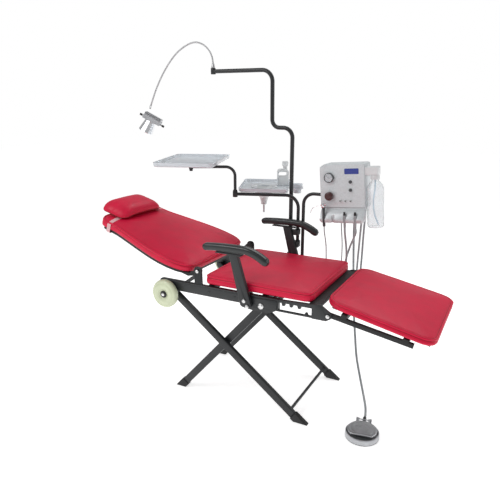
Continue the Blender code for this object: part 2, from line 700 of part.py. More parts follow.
shade = lathe("lamp_shade", (-0.010, 0, -0.0165), (0, 0, -1),
              [(0, 0.0295), (0, 0.0330), (0.012, 0.0350), (0.062, 0.0440), (0.066, 0.0440), (0.066, 0.0415),
               (0.062, 0.0415), (0.012, 0.0320)], 20)
move(shade, LAMP)
lens = lathe("lamp_lens", (-0.010, 0, -0.0165), (0, 0, -1),
             [(0, 0), (0, 0.0260), (0.004, 0.0260), (0.010, 0.0180), (0.0125, 0.0), ], 20)
move(lens, LAMP)

# ---------------------------------------------------------------- tray tube, cuspidor, tray
tx, ty = TRAY_POST
bar_a = math.radians(199.8)
bd = Vector((math.cos(bar_a), math.sin(bar_a), 0))
bn = Vector((math.cos(bar_a - math.pi / 2), math.sin(bar_a - math.pi / 2), 0))
P0 = Vector((tx, ty, 0))
SOCKET = P0 + bd * 0.3445


def on_bar(a, depth, z):
    p = P0 + bd * a + bn * depth
    return (p.x, p.y, z)


tube = sweep("t", bent([(tx, ty, 0.7005), (tx, ty, 0.970), on_bar(0.338, 0, 0.970)], 0.070, 15), 0.0090, 12)
sock = rod("s", (SOCKET.x, SOCKET.y, 0.9540), (SOCKET.x, SOCKET.y, 0.9860), 0.0135, 20)
tube = weld("tray_tube", [tube, sock])
cut(tube, [rod("c", (SOCKET.x, SOCKET.y, 0.9400), (SOCKET.x, SOCKET.y, 1.0), 0.0090, 20)])

# cuspidor tray: a shallow dish with a hole for the bowl and a ring for the cup
BAR = Matrix(((bd.x, bn.x, 0, P0.x), (bd.y, bn.y, 0, P0.y), (0, 0, 1, 0), (0, 0, 0, 1)))


def dish(name, corners, radius, z0, z1, wall, floor):
    o = round_outline(corners, radius, 4)
    m = len(o)
    cx = sum(p[0] for p in o) / m
    cy = sum(p[1] for p in o) / m

    def ring(inset, z):
        out = []
        for i, (x, y) in enumerate(o):
            ax, ay = o[i - 1]
            bx, by = o[(i + 1) % m]
            t = Vector((bx - ax, by - ay)).normalized()
            nrm = Vector((-t.y, t.x))
            if nrm.dot(Vector((cx - x, cy - y))) < 0:
                nrm = -nrm
            out.append((x + nrm.x * inset, y + nrm.y * inset, z))
        return out

    return loft(name, [ring(0.010, z0), ring(0.004, z0 + 0.004), ring(0, z1 - 0.003), ring(0, z1),
                       ring(wall, z1),
                       ring(wall + 0.002, z0 + floor + 0.004), ring(wall + 0.008, z0 + floor)])


plate = dish("d", [(0.0560, -0.006), (0.0560, 0.378), (0.347, 0.378), (0.347, -0.006)], 0.022, 0.9793,
             1.0010, 0.0030, 0.0040)
arm = box("a", 0.0440, 0.0600, 0.138, 0.160, 0.9845, 0.9925)
ring = lathe("r", (0.015, 0.149, 0.9820), (0, 0, 1), [(0, 0.0270), (0, 0.0330), (0.0110, 0.0330),
                                                      (0.0110, 0.0270)], 24)
plate = weld("cuspidor_tray", [plate, arm, ring])
cut(plate, [rod("c", (0.208, 0.190, 0.95), (0.208, 0.190, 1.02), 0.0700, 28),
            rod("c", (0.3445, 0.0, 0.95), (0.3445, 0.0, 1.02), 0.0180, 16)])
move(plate, BAR)
bowl = lathe("cuspidor_bowl", (0.208, 0.190, 0), (0, 0, 1), [
    (0.9640, 0.0620), (0.9300, 0.0380), (0.9200, 0.0250), (0.8850, 0.0150), (0.8800, 0.0068),
    (0.8350, 0.0062),
    (0.8350, 0.0042), (0.9000, 0.0050), (0.9320, 0.0100), (0.9420, 0.0400), (0.9700, 0.0620),
    (0.9880, 0.0690),
    (0.9868, 0.0750), (0.9840, 0.0760), (0.9840, 0.0650)], 22)
move(bowl, BAR)
cup = lathe("rinse_cup", (0.015, 0.149, 0), (0, 0, 1), [
    (0.9580, 0.0), (0.9580, 0.0215), (0.9933, 0.0262), (0.9938, 0.0290), (1.0100, 0.0305), (1.0100, 0.0292),
    (0.9948, 0.0252),
    (0.9600, 0.0200), (0.9600, 0.0)], 18)
move(cup, BAR)

# rinse-water jug: a small flat canister with a grip hole and a screw cap
JC = on_bar(0.106, 0.262, 0)
JUG = Matrix(((0.885, -0.466, 0, JC[0]), (0.466, 0.885, 0, JC[1]), (0, 0, 1, 0), (0, 0, 0, 1)))
body = prism("j", round_outline([(-0.034, 0.9836), (0.034, 0.9836), (0.034, 1.0780), (-0.034, 1.0780)],
                                [0.004, 0.004, 0.014, 0.014], 4), -0.020, 0.020, bevel=0.003)
body = weld("rinse_jug", [body, rod("n", (0.012, 0, 1.070), (0.012, 0, 1.098), 0.0130, 16),
                          rod("c", (0.012, 0, 1.096), (0.012, 0, 1.122), 0.0180, 18, 0.002)])
cut(body, [prism("h", round_outline([(-0.025, 1.038), (0.020, 1.038), (0.020, 1.062), (-0.025, 1.062)],
                                    [0.006] * 4, 3), -0.03, 0.03)])
move(body, JUG)

# tray arm
arm_a = math.radians(-152.0)
ad = Vector((math.cos(arm_a), math.sin(arm_a), 0))
TRAY = Vector((SOCKET.x, SOCKET.y, 0)) + ad * 0.236
arm = sweep("a", bent([(SOCKET.x, SOCKET.y, 0.9530), (SOCKET.x, SOCKET.y, 1.1170),
                       (TRAY.x, TRAY.y, 1.1170)], 0.050, 15), 0.0080, 10)
weld("tray_arm", [arm,
                  rod("stop", (SOCKET.x, SOCKET.y, 0.9864), (SOCKET.x, SOCKET.y, 0.9924), 0.0120, 16),
                  rod("b", (TRAY.x, TRAY.y, 1.1040), (TRAY.x, TRAY.y, 1.1330), 0.0115, 16),
                  rod("k", (TRAY.x, TRAY.y, 1.0960), (TRAY.x, TRAY.y, 1.1060), 0.0085, 14)])

ta = math.radians(19.5)
TC = Vector((-0.455, 0.128, 0))
TM = Matrix(((math.cos(ta), -math.sin(ta), 0, TC.x), (math.sin(ta), math.cos(ta), 0, TC.y), (0, 0, 1, 0),
             (0, 0, 0, 1)))
tray = dish("d", [(-0.157, -0.242), (0.157, -0.242), (0.157, 0.242), (-0.157, 0.242)], 0.032, 1.1390,
            1.1610, 0.0035, 0.0045)
move(tray, TM)
weld("instrument_tray", [tray, rod("boss", (TRAY.x, TRAY.y, 1.1335), (TRAY.x, TRAY.y, 1.1410), 0.0220, 20)])

# ---------------------------------------------------------------- turbine unit
roll = math.radians(4.5)
E = (0.195, 0.0, 0.985)
UNIT = Matrix(((math.cos(roll), 0, -math.sin(roll), E[0]), (0, 1, 0, 0),
               (math.sin(roll), 0, math.cos(roll), E[2]), (0, 0, 0, 1)))
post = sweep("p", bent([(ux, uy, 0.5270), (ux, uy, 0.985), (0.206, uy, 0.985)], 0.060, 15), 0.0090, 12)
weld("turbine_post", [post, rod("c", (ux, uy, 0.6256), (ux, uy, 0.634), 0.0125, 16),
                      lathe("fl", (0.2032, uy, 0.985), (1, 0, 0),
                            [(0, 0), (0, 0.0180), (0.0035, 0.0180), (0.0035, 0)], 18)])

face = 0.2950                     # the case's front face
back = 0.4000                     # its back
TOGGLES = (0.1215, 0.1484, 0.1751)
case = prism("c", round_outline([(0.0150, -0.0670), (0.2500, -0.0670), (0.2500, 0.1600), (0.0400, 0.1600),
                                 (0.0150, 0.1450)],
                                [0.004, 0.004, 0.010, 0.010, 0.008], 3), face, back, bevel=0.004)
ledge_pts = [(0.2920, -0.0700), (0.2600, -0.1150), (0.2600, -0.1340), (0.3100, -0.1340), (0.3300, -0.0700)]
bm = bmesh.new()
ends = []
for a in (0.018, 0.247):
    ends.append([bm.verts.new((a, y, b)) for y, b in ledge_pts])
for i in range(len(ledge_pts)):
    j = (i + 1) % len(ledge_pts)
    bm.faces.new((ends[0][i], ends[0][j], ends[1][j], ends[1][i]))
bm.faces.new(ends[0])
bm.faces.new(list(reversed(ends[1])))
ledge = finish(bm, "l")
bosses = [rod("n", (a, face + 0.006, -0.0270), (a, face - 0.0030, -0.0270), 0.0055, 14) for a in TOGGLES]
unit = weld("turbine_unit_case", [case, box("j", 0.020, 0.245, 0.296, 0.330, -0.0740, -0.0600),
                                  ledge] + bosses)
NOTCHES = (0.040, 0.088, 0.150, 0.205)
holes = []
for a in NOTCHES:
    holes.append(rod("n", (a, 0.2660, -0.150), (a, 0.2660, -0.060), 0.0085, 14))
    holes.append(box("n", a - 0.0055, a + 0.0055, 0.240, 0.2660, -0.150, -0.060))
holes.append(prism("c1", [(0.0, -0.100), (0.040, -0.150), (0.0, -0.150)], 0.2, 0.4))
holes.append(prism("c2", [(0.260, -0.095), (0.232, -0.150), (0.270, -0.150)], 0.2, 0.4))
cut(unit, holes)
move(unit, UNIT)
cut(unit, [lathe("c", (0.19, uy, 0.985), (1, 0, 0), [(0, 0), (0, 0.0184), (0.0172, 0.0184), (0.0172, 0)],
                 20)])


def onto(ob):
    return move(ob, UNIT)


onto(lathe("pressure_gauge", (0.0664, face - 0.0003, 0.0921), (0, -1, 0),
           [(0, 0), (0, 0.0240), (0.0080, 0.0250), (0.0140, 0.0250), (0.0150, 0.0240), (0.0150, 0.0215),
            (0.0120, 0.0205), (0.0120, 0)], 22))
onto(lathe("regulator_knob", (0.0661, face - 0.0003, -0.0012), (0, -1, 0),
           [(0, 0), (0, 0.0180), (0.0060, 0.0220), (0.0200, 0.0220), (0.0220, 0.0175), (0.0300, 0.0165),
            (0.0315, 0.0140), (0.0315, 0)], 18))
for nm, b in (("valve_knob_upper", 0.0694), ("valve_knob_lower", 0.0283)):
    onto(lathe(nm, (0.1760, face - 0.0003, b), (0, -1, 0),
               [(0, 0), (0, 0.0085), (0.0100, 0.0080), (0.0115, 0.0065), (0.0115, 0)], 14))
for k, a in enumerate(TOGGLES):
    ball = lathe("t", (a, face - 0.0070, -0.0270), (0, -1, 0),
                 [(-0.0034, 0), (-0.0024, 0.0024), (0, 0.0034), (0.0024, 0.0024), (0.0034, 0)], 13)
    stick = rod("s", (a, face - 0.0080, -0.0270), (a + 0.0020, face - 0.0190, -0.0230), 0.0019, 10)
    onto(weld("toggle_%d" % (k + 1), [ball, stick]))

BX, BY = 0.2945, 0.3200
holder = weld("bottle_holder", [
    box("h", 0.2503, 0.3150, 0.2950, 0.3450, 0.1000, 0.1420, 0.003),
    rod("cap", (BX, BY, 0.0780), (BX, BY, 0.1010), 0.0215, 22, 0.0015),
])
cut(holder, [rod("c", (BX, BY, 0.0500), (BX, BY, 0.0950), 0.0185, 22)])
onto(holder)
onto(lathe("water_bottle", (BX, BY, 0), (0, 0, 1), [
    (-0.1620, 0.0), (-0.1620, 0.0330), (-0.1570, 0.0395), (-0.1470, 0.0415), (0.0340, 0.0415),
    (0.0520, 0.0370), (0.0690, 0.0200),
    (0.0740, 0.0178), (0.0930, 0.0178), (0.0930, 0.0158), (0.0690, 0.0165), (0.0500, 0.0350),
    (0.0340, 0.0395), (-0.1470, 0.0395),
    (-0.1585, 0.0320), (-0.1585, 0.0)], 22))


def unit_point(a, y, b):
    return tuple(UNIT @ Vector((a, y, b)))


# three-way syringe, hung in the first notch
weld("air_water_syringe", [
    rod("b", unit_point(0.040, 0.2660, -0.1550), unit_point(0.040, 0.2660, -0.0520), 0.0072, 12, 0.001),
    rod("h", unit_point(0.040, 0.2660, -0.0560), unit_point(0.034, 0.2640, -0.0360), 0.0090, 12, 0.002),
    rod("n", unit_point(0.034, 0.2640, -0.0420), unit_point(-0.012, 0.2600, -0.0560), 0.0022, 8),
    rod("n2", unit_point(-0.010, 0.2600, -0.0552), unit_point(-0.030, 0.2590, -0.0850), 0.0020, 8),
    rod("t", unit_point(0.046, 0.2640, -0.0440), unit_point(0.056, 0.2620, -0.0380), 0.0045, 8),
])
for k, a in (("a", NOTCHES[2]), ("b", NOTCHES[3])):
    weld("hose_connector_" + k, [
        rod("c", unit_point(a, 0.2660, -0.1480), unit_point(a, 0.2660, -0.0900), 0.0070, 12, 0.001),
        rod("h", unit_point(a, 0.2660, -0.0905), unit_point(a, 0.2660, -0.0790), 0.0055, 12),
        rod("f", unit_point(a, 0.2660, -0.1580), unit_point(a, 0.2660, -0.1470), 0.0060, 12),
    ])

# ---------------------------------------------------------------- hoses


def hang(a, end):
    """Start of a hose below a hung instrument: its end, and a point straight below."""
    return [unit_point(a, 0.2660, end - 0.0010), unit_point(a, 0.2660, end - 0.030)]


def enter(a, y):
    """End of a hose going up into the floor of the case."""
    return [unit_point(a, y, -0.105), unit_point(a, y, -0.0680)]


cable("syringe_hose", smooth(
    hang(0.040, -0.1550) + [(0.254, 0.286, 0.730), (0.252, 0.306, 0.640), (0.256, 0.320, 0.550),
                            (0.268, 0.326, 0.500),
                            (0.290, 0.330, 0.478), (0.312, 0.334, 0.500), (0.324, 0.338, 0.580),
                            (0.324, 0.342, 0.720),
                            (0.314, 0.346, 0.820)] + enter(0.110, 0.348), 0.0185), 0.0030, 2)
cable("handpiece_hose_a", smooth(
    hang(NOTCHES[2], -0.1580) + [(0.364, 0.292, 0.710), (0.361, 0.308, 0.600), (0.361, 0.316, 0.510),
                                 (0.367, 0.324, 0.465),
                                 (0.384, 0.332, 0.450), (0.400, 0.338, 0.466), (0.408, 0.342, 0.520),
                                 (0.411, 0.344, 0.640),
                                 (0.416, 0.345, 0.780)] + enter(0.218, 0.345), 0.0215), 0.0040, 2)
cable("handpiece_hose_b", smooth(
    hang(NOTCHES[3], -0.1580) + [(0.376, 0.312, 0.730), (0.350, 0.330, 0.640), (0.345, 0.338, 0.560),
                                 (0.350, 0.346, 0.500),
                                 (0.370, 0.354, 0.474), (0.398, 0.360, 0.480), (0.420, 0.362, 0.530),
                                 (0.426, 0.364, 0.640),
                                 (0.428, 0.366, 0.780)] + enter(0.228, 0.368), 0.0215), 0.0040, 2)

# foot pedal hose
PEDAL = Vector((0.630, -0.200, 0))
pb = Vector((-0.180, 0.984, 0)).normalized()
NIP = PEDAL + pb * 0.1278
cable("pedal_hose", smooth(
    [unit_point(0.165, 0.387, -0.0680), unit_point(0.165, 0.387, -0.105),
     (0.372, 0.388, 0.740), (0.378, 0.388, 0.600), (0.386, 0.386, 0.490), (0.396, 0.368, 0.410),
     (0.412, 0.338, 0.330), (0.434, 0.300, 0.240), (0.462, 0.250, 0.150), (0.502, 0.186, 0.080),
     (0.546, 0.104, 0.034),
     (0.582, 0.022, 0.0160), (NIP + pb * 0.030).to_tuple()[:2] + (0.0150,), (NIP.x, NIP.y, 0.0150)], 0.031),
     0.0060, 2)

# ---------------------------------------------------------------- foot pedal
pc = (PEDAL.x, PEDAL.y)
base = lathe("b", (pc[0], pc[1], 0), (0, 0, 1), [
    (0, 0), (0, 0.0740), (0.0040, 0.0760), (0.0220, 0.0760), (0.0280, 0.0735), (0.0280, 0.0690),
    (0.0090, 0.0670), (0.0090, 0)], 28)
side_v = Vector((-pb.y, pb.x, 0))
PM = Matrix(((side_v.x, pb.x, 0, pc[0]), (side_v.y, pb.y, 0, pc[1]), (0, 0, 1, 0), (0, 0, 0, 1)))
lugs = []
for t in (-1, 1):
    lugs.append(move(box("l", t * 0.031 - 0.0035, t * 0.031 + 0.0035, 0.062, 0.084, 0.004, 0.0445, 0.0015),
                     PM))
nip = move(rod("n", (0, 0.066, 0.0150), (0, 0.127, 0.0150), 0.0085, 14), PM)
base = weld("pedal_base", [base] + lugs + [nip])
cut(base, [move(rod("c", (-0.05, 0.0770, 0.0365), (0.05, 0.0770, 0.0365), 0.0028, 10), PM)])

n = 24
outline = []
for k in range(n):
    a = 2 * math.pi * k / n
    x, y = 0.0655 * math.cos(a), 0.0655 * math.sin(a)
    outline.append((x, max(y, -0.046)))
pts = []
for p in outline:
    if not pts or math.dist(p, pts[-1]) > 1e-4:
        pts.append(p)
top = loft("t", [[(x * k, y * k, z) for x, y in pts] for k, z in ((0.97, 0.0318), (1.0, 0.0330),
                                                                  (1.0, 0.0365), (0.93, 0.0400),
                                                                  (0.70, 0.0420), (0.30, 0.0430))])
ears = [box("e", t * 0.0235 - 0.0035, t * 0.0235 + 0.0035, 0.050, 0.0815, 0.0320, 0.0410,
            0.001) for t in (-1, 1)]
pin = rod("p", (-0.0360, 0.0770, 0.0365), (0.0360, 0.0770, 0.0365), 0.0024, 10)
move(weld("pedal_plate", [top] + ears + [pin]), PM)

# ---------------------------------------------------------------- materials
def paint(slot, colour, roughness, metallic, names):
    """One material for each named node of the same finish."""
    for name in names:
        mat = bpy.data.materials.new(slot + "_" + name)
        mat.use_nodes = True
        surface = mat.node_tree.nodes["Principled BSDF"]
        surface.inputs["Base Color"].default_value = (*colour, 1.0)
        surface.inputs["Roughness"].default_value = roughness
        surface.inputs["Metallic"].default_value = metallic
        data = bpy.data.objects[name].data
        data.materials.clear()
        data.materials.append(mat)


def both(*stems):
    return [stem + "_" + side for stem in stems for side, _ in SIDES]


paint("frame_black", (0.016, 0.018, 0.020), 0.36, 0.0,
      both("side_rail", "armrest_post") + ["outer_leg_frame", "inner_leg_frame", "equipment_bracket",
                                           "lamp_pole", "tray_tube", "tray_arm", "turbine_post"])
paint("board_black", (0.014, 0.014, 0.015), 0.60, 0.0, ["seat_subframe", "backrest_frame", "legrest_frame"])
paint("red_leather", (0.50, 0.006, 0.030), 0.40, 0.0,
      ["seat_cushion", "backrest_cushion", "legrest_cushion", "pillow"])
paint("strap_pink", (0.83, 0.50, 0.52), 0.75, 0.0, ["pillow_strap"])
paint("black_plastic", (0.014, 0.014, 0.015), 0.38, 0.0,
      both("armrest_pad", "wheel_hub") + ["valve_knob_upper", "valve_knob_lower", "bottle_holder",
                                          "hose_connector_a", "hose_connector_b"])
paint("foot_rubber", (0.016, 0.016, 0.017), 0.62, 0.0, both("outer_foot", "inner_foot"))
paint("steel", (0.66, 0.66, 0.66), 0.28, 1.0, both("scissor_bolt"))
paint("wheel_ivory", (0.66, 0.71, 0.50), 0.34, 0.0, both("wheel"))
paint("grey_case", (0.50, 0.535, 0.545), 0.34, 0.15, ["turbine_unit_case"])
paint("clear_white", (0.74, 0.79, 0.85), 0.22, 0.0, ["cuspidor_tray", "rinse_cup", "instrument_tray"])
paint("white_plastic", (0.80, 0.82, 0.83), 0.30, 0.0, ["cuspidor_bowl", "rinse_jug"])
paint("clear_bottle", (0.86, 0.90, 0.91), 0.08, 0.0, ["water_bottle"])
paint("hose_grey", (0.36, 0.385, 0.40), 0.32, 0.0,
      ["syringe_hose", "handpiece_hose_a", "handpiece_hose_b", "pedal_hose"])
paint("chrome", (0.80, 0.80, 0.82), 0.10, 1.0,
      ["lamp_gooseneck", "pressure_gauge", "toggle_1", "toggle_2", "toggle_3", "air_water_syringe",
       "pedal_plate"])
paint("alu", (0.50, 0.51, 0.53), 0.40, 0.85, ["lamp_heatsink", "lamp_shade", "pedal_base"])
paint("dark_red", (0.060, 0.010, 0.010), 0.30, 0.0, ["regulator_knob"])
paint("lens", (0.92, 0.95, 0.98), 0.05, 0.0, ["lamp_lens"])

# ---------------------------------------------------------------- places in the whole part
SHIFT = Vector((0.0370, -0.1715, 0.0))     # puts the origin under the middle of the whole part


def stand(names, pivot):
    """Puts the nodes' origins on the axis that they turn about."""
    for name in names:
        ob = bpy.data.objects[name]
        ob.data.transform(Matrix.Translation(-Vector(pivot)))
        ob.location = Vector(pivot) + SHIFT


wheel_pivot = (WHEEL_AXLE[0], 0, WHEEL_AXLE[1])
stand(["outer_leg_frame"] + both("outer_foot", "wheel"), wheel_pivot)
stand(["inner_leg_frame"] + both("inner_foot", "scissor_bolt"), (SEAT_PIN[0], 0, SEAT_PIN[1]))
stand(["backrest_frame", "backrest_cushion", "pillow", "pillow_strap"], (BACK_PIN[0], 0, BACK_PIN[1]))
stand(["legrest_frame", "legrest_cushion"], (LEGREST_PIN[0], 0, LEGREST_PIN[1]))
stand(["armrest_post_near", "armrest_pad_near"], (ARM_PIN[0], 0, ARM_PIN[1]))
stand(["lamp_pole"], (px, py, 0))
stand(["lamp_gooseneck"], (-0.468, py, 0))
stand(["lamp_heatsink", "lamp_shade", "lamp_lens"], end)
stand(["tray_tube", "cuspidor_tray", "cuspidor_bowl", "rinse_cup", "rinse_jug"], (tx, ty, 0))
stand(["tray_arm"], (SOCKET.x, SOCKET.y, 0))
stand(["instrument_tray"], (TRAY.x, TRAY.y, 0))
stand(["turbine_post", "turbine_unit_case", "pressure_gauge", "bottle_holder", "air_water_syringe",
       "hose_connector_a", "hose_connector_b"], (ux, uy, 0))
stand(["regulator_knob"], unit_point(0.0661, face, -0.0012))
stand(["valve_knob_upper"], unit_point(0.1760, face, 0.0694))
stand(["valve_knob_lower"], unit_point(0.1760, face, 0.0283))
for k, a in enumerate(TOGGLES):
    stand(["toggle_%d" % (k + 1)], unit_point(a, face - 0.0070, -0.0270))
stand(["water_bottle"], unit_point(BX, BY, 0))
stand(["pedal_plate"], (PEDAL.x + pb.x * 0.077, PEDAL.y + pb.y * 0.077, 0.0365))

for ob in bpy.data.objects:
    if ob.type == "CURVE" or ob.location.length == 0:
        ob.location = SHIFT
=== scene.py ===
"""Looks of the portable folding dental chair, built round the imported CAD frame.

Lengths are metres. Sizes are written about the chair's own centre line (y = 0 midway between
its side rails), as in the CAD source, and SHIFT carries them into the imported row's frame.
"""

import json
import math

import bmesh
import bpy
from mathutils import Matrix, Vector, noise
from mathutils.bvhtree import BVHTree

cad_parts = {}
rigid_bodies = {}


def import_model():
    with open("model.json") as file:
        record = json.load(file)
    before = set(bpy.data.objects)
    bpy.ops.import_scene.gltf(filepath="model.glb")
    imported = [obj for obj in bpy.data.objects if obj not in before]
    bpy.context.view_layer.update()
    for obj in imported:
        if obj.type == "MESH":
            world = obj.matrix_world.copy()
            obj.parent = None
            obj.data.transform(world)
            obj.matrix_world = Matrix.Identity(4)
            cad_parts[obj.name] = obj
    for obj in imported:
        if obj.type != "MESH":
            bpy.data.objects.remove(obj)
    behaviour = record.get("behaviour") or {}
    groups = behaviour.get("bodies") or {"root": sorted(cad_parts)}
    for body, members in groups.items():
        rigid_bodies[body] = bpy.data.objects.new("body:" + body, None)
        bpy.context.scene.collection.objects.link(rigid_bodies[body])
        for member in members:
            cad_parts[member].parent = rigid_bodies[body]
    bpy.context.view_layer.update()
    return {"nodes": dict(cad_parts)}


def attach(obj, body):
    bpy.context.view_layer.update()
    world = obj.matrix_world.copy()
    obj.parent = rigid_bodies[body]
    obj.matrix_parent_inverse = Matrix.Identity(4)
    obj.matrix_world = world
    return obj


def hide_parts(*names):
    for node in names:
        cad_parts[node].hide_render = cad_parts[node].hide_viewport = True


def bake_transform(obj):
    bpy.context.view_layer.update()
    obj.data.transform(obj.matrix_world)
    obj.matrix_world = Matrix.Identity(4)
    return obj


for leftover in list(bpy.data.objects):
    bpy.data.objects.remove(leftover, do_unlink=True)
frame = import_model()
nodes = frame["nodes"]

SHIFT = Vector((0.037, -0.1715, 0.0))
SIDES = (("near", -1.0), ("far", 1.0))
TAU = 2 * math.pi
UP = (0, 0, 1)
FRONT = (0, -1, 0)
SKY_LIGHT = 0.42
FLOOR_GLOW = 0.62
DOME_RINGS = 26
ARMREST_BODY = {"near": "armrest_near", "far": "seat_frame"}

# Driving places of the CAD, about the chair's own centre line
WHEEL_AXLE = (-0.362, 0.545)
SEAT_PIN = (0.156, 0.568)
BACK_PIN = (-0.184, 0.68)
LEGREST_PIN = (0.47, 0.578)
POLE = (0.016, 0.365)
TRAY_POST = (0.072, 0.335)
UNIT_POST = (0.102, 0.335)
PEDAL = (0.63, -0.2)
POST_FOOT = 0.527
BAR_LEVEL = 0.97
ARM_LEVEL = 1.117
UNIT_LEVEL = 0.985

# Camera
FOCAL_LENGTH = 37.72
CAMERA_AT = (1.137, -2.247, 1.453)
CAMERA_DOWN = 15.8
CAMERA_TURN = 27.767


# ---------------------------------------------------------------- camera and light
def at(x, y, z):
    """A place written about the chair's centre line, in the row frame."""
    return Vector((x, y, z)) + SHIFT


def make_camera():
    data = bpy.data.cameras.new("camera")
    data.sensor_width = 36.0
    data.lens = FOCAL_LENGTH
    data.clip_start = 0.05
    cam = bpy.data.objects.new("camera", data)
    cam.location = at(*CAMERA_AT)
    cam.rotation_euler = (math.radians(90 - CAMERA_DOWN), 0, math.radians(CAMERA_TURN))
    bpy.context.scene.collection.objects.link(cam)
    bpy.context.scene.camera = cam


def area_light(name, place, target, size, power, colour=(1, 1, 1)):
    data = bpy.data.lights.new(name, "AREA")
    data.shape = "RECTANGLE"
    data.size, data.size_y = size
    data.energy = power
    data.color = colour
    lamp = bpy.data.objects.new(name, data)
    lamp.location = place
    lamp.rotation_euler = (Vector(target) - Vector(place)).to_track_quat("-Z", "Y").to_euler()
    bpy.context.scene.collection.objects.link(lamp)


def make_studio():
    """A white room: the sky is full white to the eye and dimmer as a source of light."""
    world = bpy.data.worlds.new("studio")
    world.use_nodes = True
    tree = world.node_tree
    back = tree.nodes["Background"]
    back.inputs["Color"].default_value = (1.0, 1.0, 1.0, 1)
    path = tree.nodes.new("ShaderNodeLightPath")
    seen = tree.nodes.new("ShaderNodeMath")
    seen.operation = "MAXIMUM"
    tree.links.new(path.outputs["Is Camera Ray"], seen.inputs[0])
    tree.links.new(path.outputs["Is Transmission Ray"], seen.inputs[1])
    level = tree.nodes.new("ShaderNodeMapRange")
    level.inputs["To Min"].default_value = SKY_LIGHT
    level.inputs["To Max"].default_value = 1.0
    tree.links.new(seen.outputs["Value"], level.inputs["Value"])
    tree.links.new(level.outputs["Result"], back.inputs["Strength"])
    bpy.context.scene.world = world
    bpy.context.scene.view_settings.view_transform = "Standard"
    area_light("key", (-1.6, -2.6, 3.2), (0, 0, 0.7), (1.8, 1.8), 46)
    area_light("overhead", (0.2, 1.6, 3.2), (0, 0, 0.6), (2.6, 1.6), 30)
    area_light("rim", (2.6, 1.0, 1.6), (0.2, 0, 0.8), (1.0, 1.6), 10)
    bm = bmesh.new()
    bmesh.ops.create_grid(bm, x_segments=1, y_segments=1, size=14.0)
    mesh = bpy.data.meshes.new("floor")
    bm.to_mesh(mesh)
    bm.free()
    floor = bpy.data.objects.new("floor", mesh)
    floor.location = (0, 0, -0.0005)
    bpy.context.scene.collection.objects.link(floor)
    floor.data.materials.append(M["floor"])
    shader = M["floor"].node_tree.nodes["Principled BSDF"]
    shader.inputs["Emission Color"].default_value = (1.0, 1.0, 1.0, 1)
    shader.inputs["Emission Strength"].default_value = FLOOR_GLOW


# ---------------------------------------------------------------- materials
M = {}
RELIEFS = {"grain": ("ShaderNodeTexVoronoi", "Distance", {"feature": "SMOOTH_F1", "Smoothness": 0.7}),
    "hammer": ("ShaderNodeTexVoronoi", "Distance", {"feature": "SMOOTH_F1", "Smoothness": 1.0}),
    "weave": ("ShaderNodeTexWave", "Fac", {"Distortion": 0.2, "bands_direction": "X"}),
    "fine": ("ShaderNodeTexNoise", "Fac", {"Detail": 4.0, "Roughness": 0.6}),}


def material(name, colour, rough, metallic=0.0, vary=0.05, vary_scale=9.0, bump=None, coat=0.0,
        rough_vary=0.05, transmission=0.0, ior=1.5, specular=0.5, specks=None):
    """A Principled material whose colour, roughness and relief vary through procedural textures.

    bump is (a kind in RELIEFS, scale, depth in metres, strength); specks, for wear or flecks, is
    (colour, scale, threshold).
    """
    mat = bpy.data.materials.new(name)
    mat.use_nodes = True
    tree = mat.node_tree
    bsdf = tree.nodes["Principled BSDF"]
    link = tree.links.new

    def node(kind, **values):
        made = tree.nodes.new(kind)
        for key, value in values.items():
            if key in made.inputs:
                made.inputs[key].default_value = value
            else:
                setattr(made, key, value)
        return made

    where = node("ShaderNodeTexCoord")
    cloud = node("ShaderNodeTexNoise", Scale=vary_scale, Detail=5.0, Roughness=0.55)
    link(where.outputs["Object"], cloud.inputs["Vector"])
    ramp = node("ShaderNodeValToRGB")
    low, high = ramp.color_ramp.elements
    low.position, high.position = 0.3, 0.7
    low.color = (*[max(0.0, c * (1 - vary)) for c in colour], 1)
    high.color = (*[min(1.0, c * (1 + vary)) for c in colour], 1)
    link(cloud.outputs["Fac"], ramp.inputs["Fac"])
    base = ramp.outputs["Color"]
    if specks:
        tint, scale, threshold = specks
        dots = node("ShaderNodeTexNoise", Scale=scale, Detail=3.0, Roughness=0.7)
        link(where.outputs["Object"], dots.inputs["Vector"])
        gate = node("ShaderNodeValToRGB")
        gate.color_ramp.elements[0].position = threshold
        gate.color_ramp.elements[1].position = threshold + 0.05
        link(dots.outputs["Fac"], gate.inputs["Fac"])
        mix = node("ShaderNodeMix", data_type="RGBA")
        link(gate.outputs["Color"], mix.inputs[0])
        link(base, mix.inputs[6])
        mix.inputs[7].default_value = (*tint, 1)
        base = mix.outputs[2]
    link(base, bsdf.inputs["Base Color"])
    smear = node("ShaderNodeMapRange")
    smear.inputs["To Min"].default_value = max(0.02, rough - rough_vary)
    smear.inputs["To Max"].default_value = min(1.0, rough + rough_vary)
    link(cloud.outputs["Fac"], smear.inputs["Value"])
    link(smear.outputs["Result"], bsdf.inputs["Roughness"])
    if bump:
        kind, scale, depth, strength = bump
        texture, output, values = RELIEFS[kind]
        relief = node(texture, Scale=scale, **values)
        link(where.outputs["Object"], relief.inputs["Vector"])
        lift = node("ShaderNodeBump", Strength=strength, Distance=depth)
        link(relief.outputs[output], lift.inputs["Height"])
        link(lift.outputs["Normal"], bsdf.inputs["Normal"])
    bsdf.inputs["Metallic"].default_value = metallic
    bsdf.inputs["Coat Weight"].default_value = coat
    bsdf.inputs["Coat Roughness"].default_value = 0.12
    bsdf.inputs["Transmission Weight"].default_value = transmission
    bsdf.inputs["IOR"].default_value = ior
    bsdf.inputs["Specular IOR Level"].default_value = specular
    M[name] = mat
    return mat


